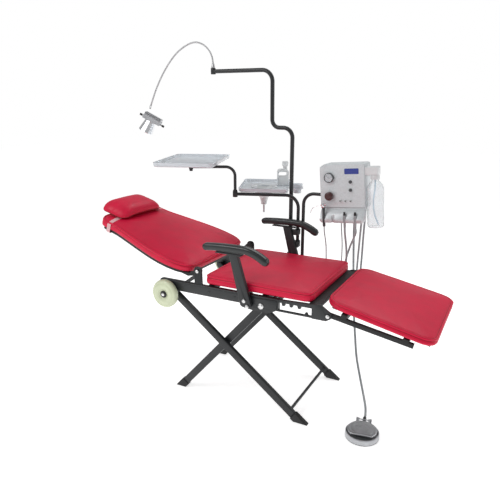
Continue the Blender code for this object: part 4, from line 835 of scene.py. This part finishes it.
def make_lamp():
    px, py = POLE
    route = bent([(px, py, POST_FOOT), (px, py, 1.32), (-0.103, py, 1.32), (-0.105, py, 1.6145),
        (-0.466, py, 1.6145)], [0.052, 0.042, 0.06])
    bm = pipe(route, 0.011, 32)
    rounded_cylinder((-0.468, py, 1.599), UP, 0.0135, 0.033, 0.0015, 40, bm)
    build("lamp_tube", bm, "powder", "lamp_pole", "lamp_pole", angle=50)
    collar = rounded_cylinder((px, py, 0.6256), UP, 0.0165, 0.014, 0.0015, 40)
    build("lamp_tube_collar", collar, "black_plastic", "lamp_pole")
    neck = smooth_route([(-0.468, py, 1.6125), (-0.469, py, 1.655), (-0.473, py, 1.686),
        (-0.491, py, 1.723), (-0.528, py, 1.755), (-0.578, py, 1.77), (-0.634, py, 1.76),
        (-0.699, py, 1.726), (-0.755, py, 1.677), (-0.813, py, 1.607), (-0.861, py, 1.532),
        (-0.895, py, 1.465), (-0.919, py, 1.412)], 0.0009)
    pitch = 0.0036
    bm = pipe(neck, lambda i, run: 0.00445 + 0.00028 * math.cos(TAU * run / pitch), 14)
    turned((-0.468, py, 1.6325), UP, [(0, 0), (0, 0.0095), (0.001, 0.01), (0.006, 0.01), (0.008, 0.009),
        (0.022, 0.0064), (0.024, 0.006), (0.024, 0)], 36, bm)
    build("lamp_flex", bm, "flex", "lamp_neck", "lamp_gooseneck", angle=80)
    end, before = neck[-1], neck[-12]
    tip = turned(before + (end - before) * -1.2, end - before, [(0, 0.0049), (0, 0.0062), (0.012, 0.0064),
        (0.012, 0.0049)], 28)
    build("lamp_flex_tip", tip, "steel", "lamp_neck")

    bm = bmesh.new()
    plate(bm, rounded([(-0.056, -0.016), (0.056, -0.016), (0.056, 0.008), (-0.056, 0.008)], 0.004),
        -0.037, 0.037)
    for k in range(17):
        c = -0.0512 + 0.0064 * k
        fin = rounded([(c - 0.0019, 0.007), (c + 0.0019, 0.007), (c + 0.0014, 0.0232),
            (c - 0.0014, 0.0232)], 0.001)
        if abs(c) < 0.009:
            plate(bm, fin, -0.0365, -0.0075)
            plate(bm, fin, 0.0075, 0.0365)
        else:
            plate(bm, fin, -0.0365, 0.0365)
    build("lamp_heatsink_fins", bm, "cast", "lamp_head", "lamp_heatsink", angle=40, place=LAMP,
        bevel=0.0006)
    bm = bmesh.new()
    rounded_cylinder((-0.079, 0, -0.008), (1, 0, 0), 0.0032, 0.158, 0.0006, 20, bm)
    for s in (-1, 1):
        rounded_cylinder((s * 0.066, 0, -0.008), (s, 0, 0), 0.0068, 0.0145, 0.0012, 36, bm, 12, 0.0009)
    build("lamp_head_knobs", bm, "black_plastic", "lamp_head", place=LAMP)
    shade = turned((-0.005, 0, -0.0168), (0, 0, -1), [(0, 0.03), (0, 0.0332), (0.002, 0.034),
        (0.012, 0.0352), (0.03, 0.0385), (0.064, 0.044), (0.068, 0.0448), (0.07, 0.0443),
        (0.0706, 0.0428), (0.0685, 0.042), (0.012, 0.0324)], 12)
    build("lamp_reflector", shade, "reflector", "lamp_head", "lamp_shade", angle=20, place=LAMP,
        bevel=0.0004)
    lens = turned((-0.005, 0, -0.0168), (0, 0, -1), [(0, 0), (0, 0.0255), (0.004, 0.026), (0.008, 0.0225),
        (0.011, 0.015), (0.0124, 0.007), (0.0127, 0.0)], 40)
    build("lamp_lens_dome", lens, "lens", "lamp_head", "lamp_lens", angle=50, place=LAMP)


# ---------------------------------------------------------------- trays and cuspidor
BAR_ANGLE = math.radians(199.8)
BAR_X = Vector((math.cos(BAR_ANGLE), math.sin(BAR_ANGLE), 0))
BAR_Y = Vector((math.sin(BAR_ANGLE), -math.cos(BAR_ANGLE), 0))
BAR_AT = Vector((TRAY_POST[0], TRAY_POST[1], 0))
BAR = axes_matrix(BAR_X, BAR_Y, UP, BAR_AT)
BOWL = (0.208, 0.19)
CUP = (0.015, 0.149)
SOCKET = BAR_AT + BAR_X * 0.3445
ARM_ANGLE = math.radians(-152.0)
TRAY_PIN = SOCKET + Vector((math.cos(ARM_ANGLE), math.sin(ARM_ANGLE), 0)) * 0.236
TRAY_TURN = math.radians(19.5)
TRAY = Matrix.Translation((-0.455, 0.128, 0)) @ Matrix.Rotation(TRAY_TURN, 4, "Z")


def dish(bm, corners, radius, z0, z1, wall, floor, hole=None):
    """A shallow moulded tray with rounded corners and a rolled rim, and a round floor hole if asked."""
    outline = anticlockwise(rounded(corners, radius, 10))
    inward = inward_normals(outline)
    profile = [(0.011, z0), (0.006, z0 + 0.0008), (0.0025, z0 + 0.0035), (0.0012, z1 - 0.004),
        (0.0002, z1 - 0.0022), (0.0, z1 - 0.0012), (0.0006, z1), (wall - 0.0006, z1), (wall, z1 - 0.0012),
        (wall + 0.0006, z0 + floor + 0.005), (wall + 0.003, z0 + floor + 0.0014),
        (wall + 0.008, z0 + floor)]
    rings = [inset_ring(bm, outline, inward, inset, z) for inset, z in profile]
    bridge(bm, rings, closed_ends=False)
    n = len(outline)
    if hole is None:
        bm.faces.new(rings[0])
        bm.faces.new(rings[-1])
        return
    hx, hy, hr = hole
    round_low, round_high = [], []
    for p in outline:
        d = Vector((p.x - hx, p.y - hy, 0)).normalized() * hr
        round_low.append(bm.verts.new((hx + d.x, hy + d.y, z0)))
        round_high.append(bm.verts.new((hx + d.x, hy + d.y, z0 + floor)))
    for ring, edge in ((rings[0], round_low), (rings[-1], round_high)):
        for i in range(n):
            j = (i + 1) % n
            bm.faces.new((ring[i], ring[j], edge[j], edge[i]))
    for i in range(n):
        j = (i + 1) % n
        bm.faces.new((round_low[i], round_low[j], round_high[j], round_high[i]))


def make_cuspidor():
    tx, ty = TRAY_POST
    end = BAR_AT + BAR_X * 0.338
    bm = pipe(bent([(tx, ty, 0.7005), (tx, ty, BAR_LEVEL), (end.x, end.y, BAR_LEVEL)], 0.07), 0.009, 28)
    turned((SOCKET.x, SOCKET.y, 0.954), UP, [(0, 0.0092), (0, 0.013), (0.0008, 0.0135), (0.0312, 0.0135),
        (0.032, 0.013), (0.032, 0.0092)], 40, bm)
    build("tray_tube_bar", bm, "powder", "cuspidor_carrier", "tray_tube", angle=50)
    bm = bmesh.new()
    dish(bm, [(0.056, -0.006), (0.056, 0.378), (0.345, 0.378), (0.33, 0.018), (0.315, -0.006)],
        [0.022, 0.022, 0.022, 0.01, 0.012], 0.9795, 1.001, 0.003, 0.0038, hole=(*BOWL, 0.0705))
    build("cuspidor_dish", bm, "frosted", "cuspidor_carrier", "cuspidor_tray", angle=40,
        place=BAR)
    bm = turned((*CUP, 0.982), UP, [(0, 0.0272), (0, 0.0322), (0.001, 0.033), (0.0098, 0.033),
        (0.0108, 0.0322), (0.0108, 0.0272)], 56)
    plate(bm, [(0.047, 0.9845), (0.0568, 0.9845), (0.0568, 0.9925), (0.047, 0.9925)], 0.138, 0.16)
    build("cup_ring", bm, "frosted", "cuspidor_carrier", place=BAR, bevel=0.0005)
    bowl = turned((*BOWL, 0), UP, [(0.9838, 0.064), (0.9838, 0.0745), (0.9848, 0.0755), (0.9862, 0.075),
        (0.9872, 0.0715), (0.9868, 0.068), (0.98, 0.0648), (0.97, 0.06), (0.956, 0.05), (0.944, 0.036),
        (0.937, 0.02), (0.933, 0.009), (0.925, 0.0058), (0.9, 0.0048), (0.835, 0.0042), (0.835, 0.006),
        (0.878, 0.0064), (0.88, 0.01), (0.883, 0.0165), (0.886, 0.0175), (0.89, 0.0176), (0.896, 0.0182),
        (0.918, 0.024), (0.921, 0.0262), (0.923, 0.0262), (0.926, 0.03), (0.94, 0.044), (0.954, 0.056),
        (0.97, 0.0622)], 72)
    build("cuspidor_basin", bowl, "milky", "cuspidor_carrier", "cuspidor_bowl", angle=50,
        place=BAR)
    sieve = rounded_cylinder((*BOWL, 0.9338), UP, 0.0105, 0.0022, 0.0008, 36)
    build("cuspidor_sieve", sieve, "steel", "cuspidor_carrier", place=BAR)
    cup = turned((*CUP, 0), UP, [(0.958, 0.0), (0.958, 0.019), (0.9588, 0.0212), (0.965, 0.022),
        (0.9932, 0.026), (0.9938, 0.0284), (0.9946, 0.029), (1.0086, 0.0303), (1.0096, 0.0306),
        (1.01, 0.03), (1.0094, 0.0293), (0.995, 0.028), (0.9942, 0.025), (0.965, 0.021), (0.9604, 0.019),
        (0.96, 0.0)], 56)
    build("rinse_beaker", cup, "frosted", "cuspidor_carrier", "rinse_cup", angle=50,
        place=BAR)


def make_jug():
    """A small flat canister for rinsing water, with a grip and a ribbed screw cap."""
    corner = BAR @ Vector((0.106, 0.262, 0))
    place = axes_matrix(ACROSS, ALONG, UP, (corner.x, corner.y, 0))
    outer = rounded([(-0.034, 0.9838), (0.034, 0.9838), (0.034, 1.066), (0.02, 1.078), (-0.034, 1.078)],
        [0.006, 0.006, 0.01, 0.01, 0.016], 8)
    inner = rounded([(-0.025, 1.038), (0.02, 1.038), (0.02, 1.062), (-0.025, 1.062)], 0.008, 8)
    count = 96
    out = [Vector((p.x, 0, p.y)) for p in even_outline(outer, count)]
    hole_c = Vector((-0.0025, 0, 1.05))
    hole_loop = even_outline(inner, count)
    hole = []
    for p in out:
        want = math.atan2(p.z - hole_c.z, p.x - hole_c.x)
        best = min(hole_loop, key=lambda q: abs(math.remainder(math.atan2(q.y - 1.05,
            q.x + 0.0025) - want, TAU)))
        hole.append(Vector((best.x, 0, best.y)))
    bm = bmesh.new()
    rings = []
    for y, inset in ((-0.02, 0.0045), (-0.0188, 0.0018), (-0.016, 0.0002), (0.016, 0.0002),
            (0.0188, 0.0018), (0.02, 0.0045)):
        rings.append([bm.verts.new(p + (hole_c - p).normalized() * inset + Vector((0, y, 0)))
            for p in out])
    back = []
    for y, inset in ((0.0196, 0.003), (0.018, 0.0), (-0.018, 0.0), (-0.0196, 0.003)):
        back.append([bm.verts.new(p - (hole_c - p).normalized() * inset + Vector((0, y, 0)))
            for p in hole])
    bridge(bm, rings + back + [rings[0]], closed_ends=False)
    build("canister_body", bm, "milky", "cuspidor_carrier", "rinse_jug", angle=60,
        place=place)
    bm = rounded_cylinder((0.012, 0, 1.0745), UP, 0.013, 0.0245, 0.001, 40)
    rounded_cylinder((0.012, 0, 1.096), UP, 0.0182, 0.026, 0.0022, 96, bm, 24, 0.0008)
    build("canister_cap", bm, "milky", "cuspidor_carrier", angle=40, place=place)
    level = bmesh.new()
    block(level, (-0.031, -0.01995, 0.99), (-0.0265, -0.0203, 1.03), place)
    for k in range(5):
        z = 0.994 + 0.0085 * k
        block(level, (-0.026, -0.01995, z), (-0.018, -0.0204, z + 0.0008), place)
    build("canister_level_marks", level, "frosted", "cuspidor_carrier")


def make_tray():
    bm = bmesh.new()
    dish(bm, [(-0.157, -0.242), (0.157, -0.242), (0.157, 0.242), (-0.157, 0.242)], 0.032, 1.139, 1.161,
        0.0035, 0.0042)
    build("tray_dish", bm, "frosted", "instrument_tray", "instrument_tray", angle=40,
        place=TRAY)
    boss = turned((TRAY_PIN.x, TRAY_PIN.y, 1.1335), UP, [(0, 0), (0, 0.0215), (0.001, 0.022),
        (0.0045, 0.0225), (0.0052, 0.0225), (0.0052, 0)], 48)
    build("tray_boss", boss, "black_plastic", "instrument_tray")
    bm = pipe(bent([(SOCKET.x, SOCKET.y, 0.953), (SOCKET.x, SOCKET.y, ARM_LEVEL),
        (TRAY_PIN.x, TRAY_PIN.y, ARM_LEVEL)], 0.05), 0.008, 28)
    rounded_cylinder((TRAY_PIN.x, TRAY_PIN.y, 1.104), UP, 0.0115, 0.0288, 0.0012, 40, bm)
    build("tray_arm_bar", bm, "powder", "tray_arm", "tray_arm", angle=50)
    stop = rounded_cylinder((SOCKET.x, SOCKET.y, 0.9864), UP, 0.012, 0.0062, 0.001, 40)
    build("tray_arm_stop", stop, "black_plastic", "tray_arm")
    knob = rounded_cylinder((TRAY_PIN.x, TRAY_PIN.y, 1.095), UP, 0.0092, 0.01, 0.0018, 60, lobes=10,
        depth=0.0012)
    build("tray_clamp_knob", knob, "black_plastic", "tray_arm")


# ---------------------------------------------------------------- turbine unit
ROLL = math.radians(4.5)
UNIT = Matrix(((math.cos(ROLL), 0, -math.sin(ROLL), 0.195), (0, 1, 0, 0),
    (math.sin(ROLL), 0, math.cos(ROLL), UNIT_LEVEL), (0, 0, 0, 1)))
FACE = 0.295
SYRINGE_NOTCH, NOTCH_A, NOTCH_B = 0.04, 0.15, 0.205
PARKED = 0.266
BOTTLE = (0.2945, 0.32)
GAUGE = (0.0664, 0.0921)
TOGGLE_LEVEL = -0.027


def unit_point(a, y, b):
    return UNIT @ Vector((a, y, b))


def make_unit_post():
    ux, uy = UNIT_POST
    bm = pipe(bent([(ux, uy, POST_FOOT), (ux, uy, UNIT_LEVEL), (0.2035, uy, UNIT_LEVEL)], 0.06), 0.009,
        28)
    turned((0.2032, uy, UNIT_LEVEL), (1, 0, 0), [(0, 0), (0, 0.0175), (0.0006, 0.018), (0.0035, 0.018),
        (0.0035, 0)], 40, bm)
    rounded_cylinder((ux, uy, 0.6256), UP, 0.0125, 0.0084, 0.0012, 40, bm)
    build("unit_post_tube", bm, "powder", "turbine_unit", "turbine_post", angle=50)


def make_gauge():
    a, b = GAUGE
    bezel = turned((a, FACE - 0.0003, b), FRONT, [(0, 0.0), (0, 0.0238), (0.002, 0.0244), (0.008, 0.0248),
        (0.0135, 0.0248), (0.0148, 0.024), (0.015, 0.0228), (0.0144, 0.0216), (0.0118, 0.021),
        (0.011, 0.0208), (0.011, 0.0)], 64)
    build("gauge_bezel", bezel, "gunmetal", "turbine_unit", "pressure_gauge", angle=40,
        place=UNIT)
    face = turned((a, FACE - 0.0115, b), FRONT, [(0, 0), (0, 0.0204), (0.0005, 0.0204), (0.0005, 0)], 56)
    build("gauge_dial", face, "dial", "turbine_unit", place=UNIT)
    marks = bmesh.new()
    for k in range(25):
        t = math.radians(225 - 270 * k / 24)
        long = 0.004 if k % 6 == 0 else 0.0022
        spin = UNIT @ Matrix.Translation((a, FACE - 0.0123, b)) @ Matrix.Rotation(-t, 4, "Y")
        block(marks, (0.0185 - long, -0.0002, -0.0003), (0.0185, 0.0002, 0.0003), spin)
    needle = UNIT @ Matrix.Translation((a, FACE - 0.0132, b)) @ Matrix.Rotation(math.radians(-140), 4,
        "Y")
    block(marks, (-0.005, -0.0003, -0.0005), (0.015, 0.0003, 0.0005), needle)
    build("gauge_marks", marks, "ink", "turbine_unit")
    glass = turned((a, FACE - 0.014, b), FRONT, [(0, 0), (0, 0.0212), (0.0006, 0.02), (0.0009, 0)], 56)
    build("gauge_glass", glass, "lens", "turbine_unit", place=UNIT)


def make_controls():
    knob = turned((0.0661, FACE - 0.0003, -0.0012), FRONT, [(0, 0), (0, 0.0172), (0.001, 0.018),
        (0.005, 0.0185), (0.007, 0.0216), (0.009, 0.022), (0.019, 0.022), (0.0208, 0.0212),
        (0.0216, 0.0196), (0.0222, 0.0176), (0.029, 0.0166), (0.0305, 0.0156), (0.0315, 0.013),
        (0.0312, 0)], 120, lobes=20, lobe_depth=0.0016, lobe_span=(0.0085, 0.0195))
    build("regulator_handwheel", knob, "knob_red", "regulator_knob", "regulator_knob",
        angle=40, place=UNIT)
    for label, b in (("upper", 0.0694), ("lower", 0.0283)):
        knob = turned((0.176, FACE - 0.0003, b), FRONT, [(0, 0), (0, 0.0078), (0.0006, 0.0084),
            (0.0022, 0.0085), (0.0026, 0.0074), (0.01, 0.007), (0.0112, 0.0062), (0.0115, 0.005),
            (0.0115, 0)], 72, lobes=12, lobe_depth=0.0009, lobe_span=(0.0027, 0.0101))
        build("valve_grip_" + label, knob, "gunmetal", "valve_knob_" + label, "valve_knob_" + label,
            angle=40, place=UNIT)
    for k, a in enumerate((0.1215, 0.1484, 0.1751)):
        name = "toggle_%d" % (k + 1)
        bm = turned((a, FACE - 0.007, TOGGLE_LEVEL), FRONT, [(-0.0034 * math.cos(math.pi * i / 12),
            0.0034 * math.sin(math.pi * i / 12)) for i in range(13)], 28)
        pipe([(a, FACE - 0.009, -0.0268), (a + 0.001, FACE - 0.014, -0.025),
            (a + 0.002, FACE - 0.0178, -0.0235)], lambda i, run: 0.0014 + 0.0007 * i / 2, 20, bm)
        build(name + "_lever", bm, "gunmetal", name, name, angle=50, place=UNIT)
        nut = turned((a, FACE - 0.0004, TOGGLE_LEVEL), FRONT, [(0, 0.004), (0, 0.007), (0.0008, 0.0072),
            (0.0032, 0.0066), (0.0038, 0.006), (0.0038, 0.004)], 6)
        build(name + "_nut", nut, "steel", "turbine_unit", angle=20, place=UNIT)
    plate_bm = bmesh.new()
    plate(plate_bm, rounded([(0.146, 0.108), (0.219, 0.108), (0.219, 0.136), (0.146, 0.136)], 0.004),
        FACE - 0.0012, FACE + 0.001, UNIT)
    build("blank_label", plate_bm, "label", "turbine_unit", bevel=0.0003)
    for k, (a, b) in enumerate(((0.028, -0.055), (0.238, -0.055), (0.238, 0.148), (0.047, 0.148))):
        place = unit_point(a, FACE + 0.0002, b)
        domed_bolt("case_screw_%d" % k, place, FRONT, 0.003, 0.002, "turbine_unit", "case")
    seam = bmesh.new()
    block(seam, (0.0165, FACE - 0.0006, -0.0622), (0.2485, FACE + 0.001, -0.0602), UNIT)
    build("case_seam", seam, "case_dark", "turbine_unit")


def make_bottle():
    bx, by = BOTTLE
    shell = turned((bx, by, 0), UP, [(-0.1565, 0.0), (-0.16, 0.022), (-0.162, 0.029), (-0.1615, 0.034),
        (-0.1585, 0.0385), (-0.1525, 0.0409), (-0.144, 0.0415), (-0.105, 0.0415), (-0.102, 0.0407),
        (-0.099, 0.0415), (-0.033, 0.0415), (-0.03, 0.0407), (-0.027, 0.0415), (0.028, 0.0415),
        (0.04, 0.0402), (0.051, 0.036), (0.06, 0.0285), (0.067, 0.0212), (0.072, 0.0182), (0.078, 0.0177),
        (0.093, 0.0177), (0.093, 0.016), (0.072, 0.0162), (0.065, 0.0192), (0.058, 0.0266),
        (0.049, 0.0342), (0.039, 0.0386), (0.028, 0.0399), (-0.144, 0.0399), (-0.1515, 0.0393),
        (-0.1565, 0.037), (-0.159, 0.0325), (-0.158, 0.022), (-0.154, 0.0)], 64)
    build("bottle_shell", shell, "bottle_clear", "water_bottle", "water_bottle", angle=50,
        place=UNIT)
    tube = smooth_route([(bx, by, 0.076), (bx - 0.002, by, 0.03), (bx - 0.01, by - 0.004, -0.03),
        (bx - 0.004, by - 0.006, -0.095), (bx + 0.014, by - 0.004, -0.148)], 0.005)
    build("bottle_dip_tube", pipe(tube, 0.0036, 16), "tube_blue", "turbine_unit",
        place=UNIT)
    ribs = turned((bx, by, 0.0785), UP, [(0, 0.02), (0, 0.0216), (0.001, 0.0222), (0.02, 0.0222),
        (0.021, 0.0216), (0.021, 0.02)], 120, lobes=30, lobe_depth=0.0007, lobe_span=(0.0008, 0.0202))
    build("bottle_cap_ribs", ribs, "milky", "turbine_unit", place=UNIT, angle=40)


def make_instruments():
    bm = bmesh.new()
    rounded_cylinder((SYRINGE_NOTCH, PARKED, -0.155), UP, 0.0072, 0.102, 0.001, 36, bm)
    for k in range(9):
        rounded_cylinder((SYRINGE_NOTCH, PARKED, -0.15 + 0.0052 * k), UP, 0.0075, 0.002, 0.0006, 36, bm)
    build("syringe_handle", bm, "gunmetal", "turbine_unit", "air_water_syringe", angle=40,
        place=UNIT)
    bm = rounded_cylinder((SYRINGE_NOTCH, PARKED, -0.056), (-0.006, -0.002, 0.02), 0.009, 0.021, 0.0022,
        36)
    pipe(smooth_route([(0.036, 0.2646, -0.043), (0.01, 0.2625, -0.049), (-0.012, 0.26, -0.0562),
        (-0.023, 0.2595, -0.068), (-0.03, 0.259, -0.085)], 0.003), lambda i,
        run: 0.0023 - 0.0006 * min(run, 0.08) / 0.08, 20, bm)
    rounded_cylinder((0.046, 0.264, -0.044), (0.01, -0.002, 0.006), 0.0045, 0.011, 0.001, 28, bm)
    build("syringe_head", bm, "chrome", "turbine_unit", angle=40, place=UNIT)
    for label, a in (("a", NOTCH_A), ("b", NOTCH_B)):
        bm = bmesh.new()
        rounded_cylinder((a, PARKED, -0.096), UP, 0.007, 0.007, 0.0012, 48, bm, 12, 0.0006)
        rounded_cylinder((a, PARKED, -0.0905), UP, 0.0055, 0.0115, 0.001, 36, bm)
        build("coupling_%s_body" % label, bm, "black_plastic", "turbine_unit", "hose_connector_" + label,
            angle=40, place=UNIT)
        sleeve = turned((a, PARKED, -0.158), UP, [(0, 0), (0, 0.0054), (0.0012, 0.006), (0.056, 0.0068),
            (0.0625, 0.0062), (0.0625, 0)], 40)
        build("coupling_%s_sleeve" % label, sleeve, "hose", "turbine_unit", angle=40,
            place=UNIT)


# ---------------------------------------------------------------- hoses
def hang(a, end):
    """Start of a hose below a parked instrument: its end, and a point straight below."""
    return [unit_point(a, PARKED, end - 0.001), unit_point(a, PARKED, end - 0.03)]


def enter(a, y):
    """End of a hose going up into the floor of the case."""
    return [unit_point(a, y, -0.105), unit_point(a, y, -0.068)]


PEDAL_BACK = Vector((-0.18, 0.984, 0)).normalized()
NIPPLE = Vector((PEDAL[0], PEDAL[1], 0)) + PEDAL_BACK * 0.1278
ROUTES = {"syringe_hose": (hang(SYRINGE_NOTCH, -0.155) + [Vector(p) for p in ((0.254, 0.286, 0.73),
    (0.252, 0.306, 0.64), (0.256, 0.32, 0.55), (0.268, 0.326, 0.5), (0.29, 0.33, 0.478),
    (0.312, 0.334, 0.5), (0.324, 0.338, 0.58), (0.324, 0.342, 0.72), (0.314, 0.346, 0.82))] + enter(0.11,
    0.348), 0.003), "handpiece_hose_a": (hang(NOTCH_A, -0.158) + [Vector(p)
    for p in ((0.364, 0.292, 0.71), (0.361, 0.308, 0.6), (0.3598, 0.316, 0.52), (0.3605, 0.32, 0.475),
    (0.3674, 0.325, 0.4584), (0.384, 0.331, 0.4515), (0.4006, 0.337, 0.4584), (0.4075, 0.34, 0.475),
    (0.409, 0.342, 0.52), (0.411, 0.344, 0.64), (0.416, 0.345, 0.78))] + enter(0.218, 0.345), 0.0052),
    "handpiece_hose_b": (hang(NOTCH_B, -0.158) + [Vector(p) for p in ((0.376, 0.312, 0.73),
    (0.35, 0.33, 0.64), (0.345, 0.338, 0.56), (0.35, 0.346, 0.5), (0.37, 0.354, 0.474),
    (0.398, 0.36, 0.48), (0.42, 0.362, 0.53), (0.426, 0.364, 0.64), (0.428, 0.366, 0.78))] + enter(0.228,
    0.368), 0.0052), "pedal_hose": ([unit_point(0.165, 0.387, -0.068), unit_point(0.165, 0.387, -0.105)]
    + [Vector(p) for p in ((0.372, 0.388, 0.74), (0.378, 0.388, 0.6), (0.386, 0.386, 0.49),
    (0.396, 0.368, 0.41), (0.412, 0.338, 0.33), (0.434, 0.3, 0.24), (0.462, 0.25, 0.15),
    (0.502, 0.186, 0.08), (0.546, 0.104, 0.034), (0.582, 0.022, 0.016))]
    + [Vector(((NIPPLE + PEDAL_BACK * 0.03).x, (NIPPLE + PEDAL_BACK * 0.03).y, 0.015)),
    Vector((NIPPLE.x, NIPPLE.y, 0.015))], 0.006),}


def strain_relief(name, start, direction, radius, length, body):
    """A tapered ribbed sleeve where a hose leaves its housing."""
    profile = [(0, radius * 0.99), (0, radius * 1.75)]
    for k in range(5):
        f0, f1 = (k + 0.15) / 5, (k + 0.72) / 5
        profile += [(length * f0, radius * (1.75 - 0.55 * f0)), (length * f1,
            radius * (1.75 - 0.55 * f1)), (length * (f1 + 0.02), radius * (1.6 - 0.55 * f1)),
            (length * (k + 1.0) / 5, radius * (1.6 - 0.55 * (k + 1) / 5))]
    profile.append((length, radius * 1.03))
    build(name, turned(start, direction, profile, 28), "black_plastic", body,
        angle=35)


def make_hoses():
    for name, (route, radius) in ROUTES.items():
        points = smooth_route(route, radius)
        pedal = name == "pedal_hose"
        if not pedal:
            points.reverse()
        tube = build(name + "_tube", pipe(points, radius, 20), "hose", None if pedal else "turbine_unit",
            name, angle=60)
        if pedal:
            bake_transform(tube)
        down = (points[3] - points[0]).normalized()
        strain_relief(name + "_relief", points[0] - down * 0.0002, down, radius, 0.022, "turbine_unit")


# ---------------------------------------------------------------- foot pedal
PEDAL_SIDE = Vector((-PEDAL_BACK.y, PEDAL_BACK.x, 0))
PEDAL_FRAME = axes_matrix(PEDAL_SIDE, PEDAL_BACK, UP, (*PEDAL, 0))


def make_pedal():
    housing = turned((0, 0, 0), UP, [(0.0003, 0), (0.0003, 0.0715), (0.0012, 0.0745), (0.0035, 0.076),
        (0.021, 0.076), (0.025, 0.0752), (0.0275, 0.0735), (0.028, 0.0712), (0.027, 0.0695),
        (0.024, 0.0688), (0.012, 0.068), (0.0095, 0.066), (0.009, 0.06), (0.009, 0)], 96)
    for t in (-1, 1):
        plate_y = sorted((t * 0.031 - 0.0035, t * 0.031 + 0.0035))
        lug = rounded([(0.062, 0.006), (0.084, 0.006), (0.084, 0.0445), (0.07, 0.0445)],
            [0.001, 0.002, 0.007, 0.006], 6)
        rings = [[housing.verts.new((x, y, z)) for y, z in lug] for x in plate_y]
        bridge(housing, rings)
    build("pedal_housing", housing, "cast", "seat_frame", "pedal_base", angle=40,
        place=PEDAL_FRAME)
    nip = turned((0, 0.07, 0.015), (0, 1, 0), [(0, 0), (0, 0.01), (0.008, 0.01), (0.01, 0.0088),
        (0.03, 0.0085), (0.032, 0.0078), (0.046, 0.0084), (0.056, 0.008), (0.057, 0.007), (0.057, 0)], 36)
    build("pedal_nipple", nip, "black_plastic", "seat_frame", angle=40,
        place=PEDAL_FRAME)
    bm = bmesh.new()
    turns = [TAU * k / 96 for k in range(96)]
    outline = [Vector((0.0655 * math.cos(t), max(0.0655 * math.sin(t), -0.046), 0)) for t in turns]
    rings = []
    for scale, z in ((0.955, 0.0318), (0.985, 0.0322), (1.0, 0.0336), (1.0, 0.0362), (0.985, 0.038),
            (0.955, 0.0392), (0.9, 0.04), (0.8, 0.0408), (0.78, 0.04), (0.76, 0.04), (0.74, 0.0412),
            (0.5, 0.0424), (0.48, 0.0416), (0.46, 0.0416), (0.44, 0.0427), (0.22, 0.0431), (0.2, 0.0424),
            (0.18, 0.0424), (0.16, 0.0432)):
        rings.append([bm.verts.new((p.x * scale, p.y * scale, z)) for p in outline])
    rings.append([bm.verts.new((0, 0, 0.0433))])
    bridge(bm, rings, closed_ends=False)
    bm.faces.new(rings[0])
    for t in (-1, 1):
        block(bm, (t * 0.0235 - 0.0035, 0.05, 0.0326), (t * 0.0235 + 0.0035, 0.0815, 0.0404))
    rounded_cylinder((-0.036, 0.077, 0.0365), (1, 0, 0), 0.0024, 0.072, 0.0005, 20, bm)
    build("pedal_tread", bm, "cast", "pedal_plate", "pedal_plate", angle=40, place=PEDAL_FRAME)
    rim = pipe([Vector((0.074 * math.cos(TAU * k / 96), 0.074 * math.sin(TAU * k / 96), 0.0024))
        for k in range(98)], 0.0022, 10)
    build("pedal_rubber_ring", rim, "rubber", "seat_frame", place=PEDAL_FRAME)


make_materials()
make_camera()
make_studio()
dress_frame()
backrest = make_cushions()
top_of_back = surface_of(backrest, BACK)
make_pillow(top_of_back)
make_strap(top_of_back)
make_wheels()
make_bolts()
make_armrests()
make_lamp()
make_cuspidor()
make_jug()
make_tray()
make_unit_post()
make_gauge()
make_controls()
make_bottle()
make_instruments()
make_pedal()
make_hoses()
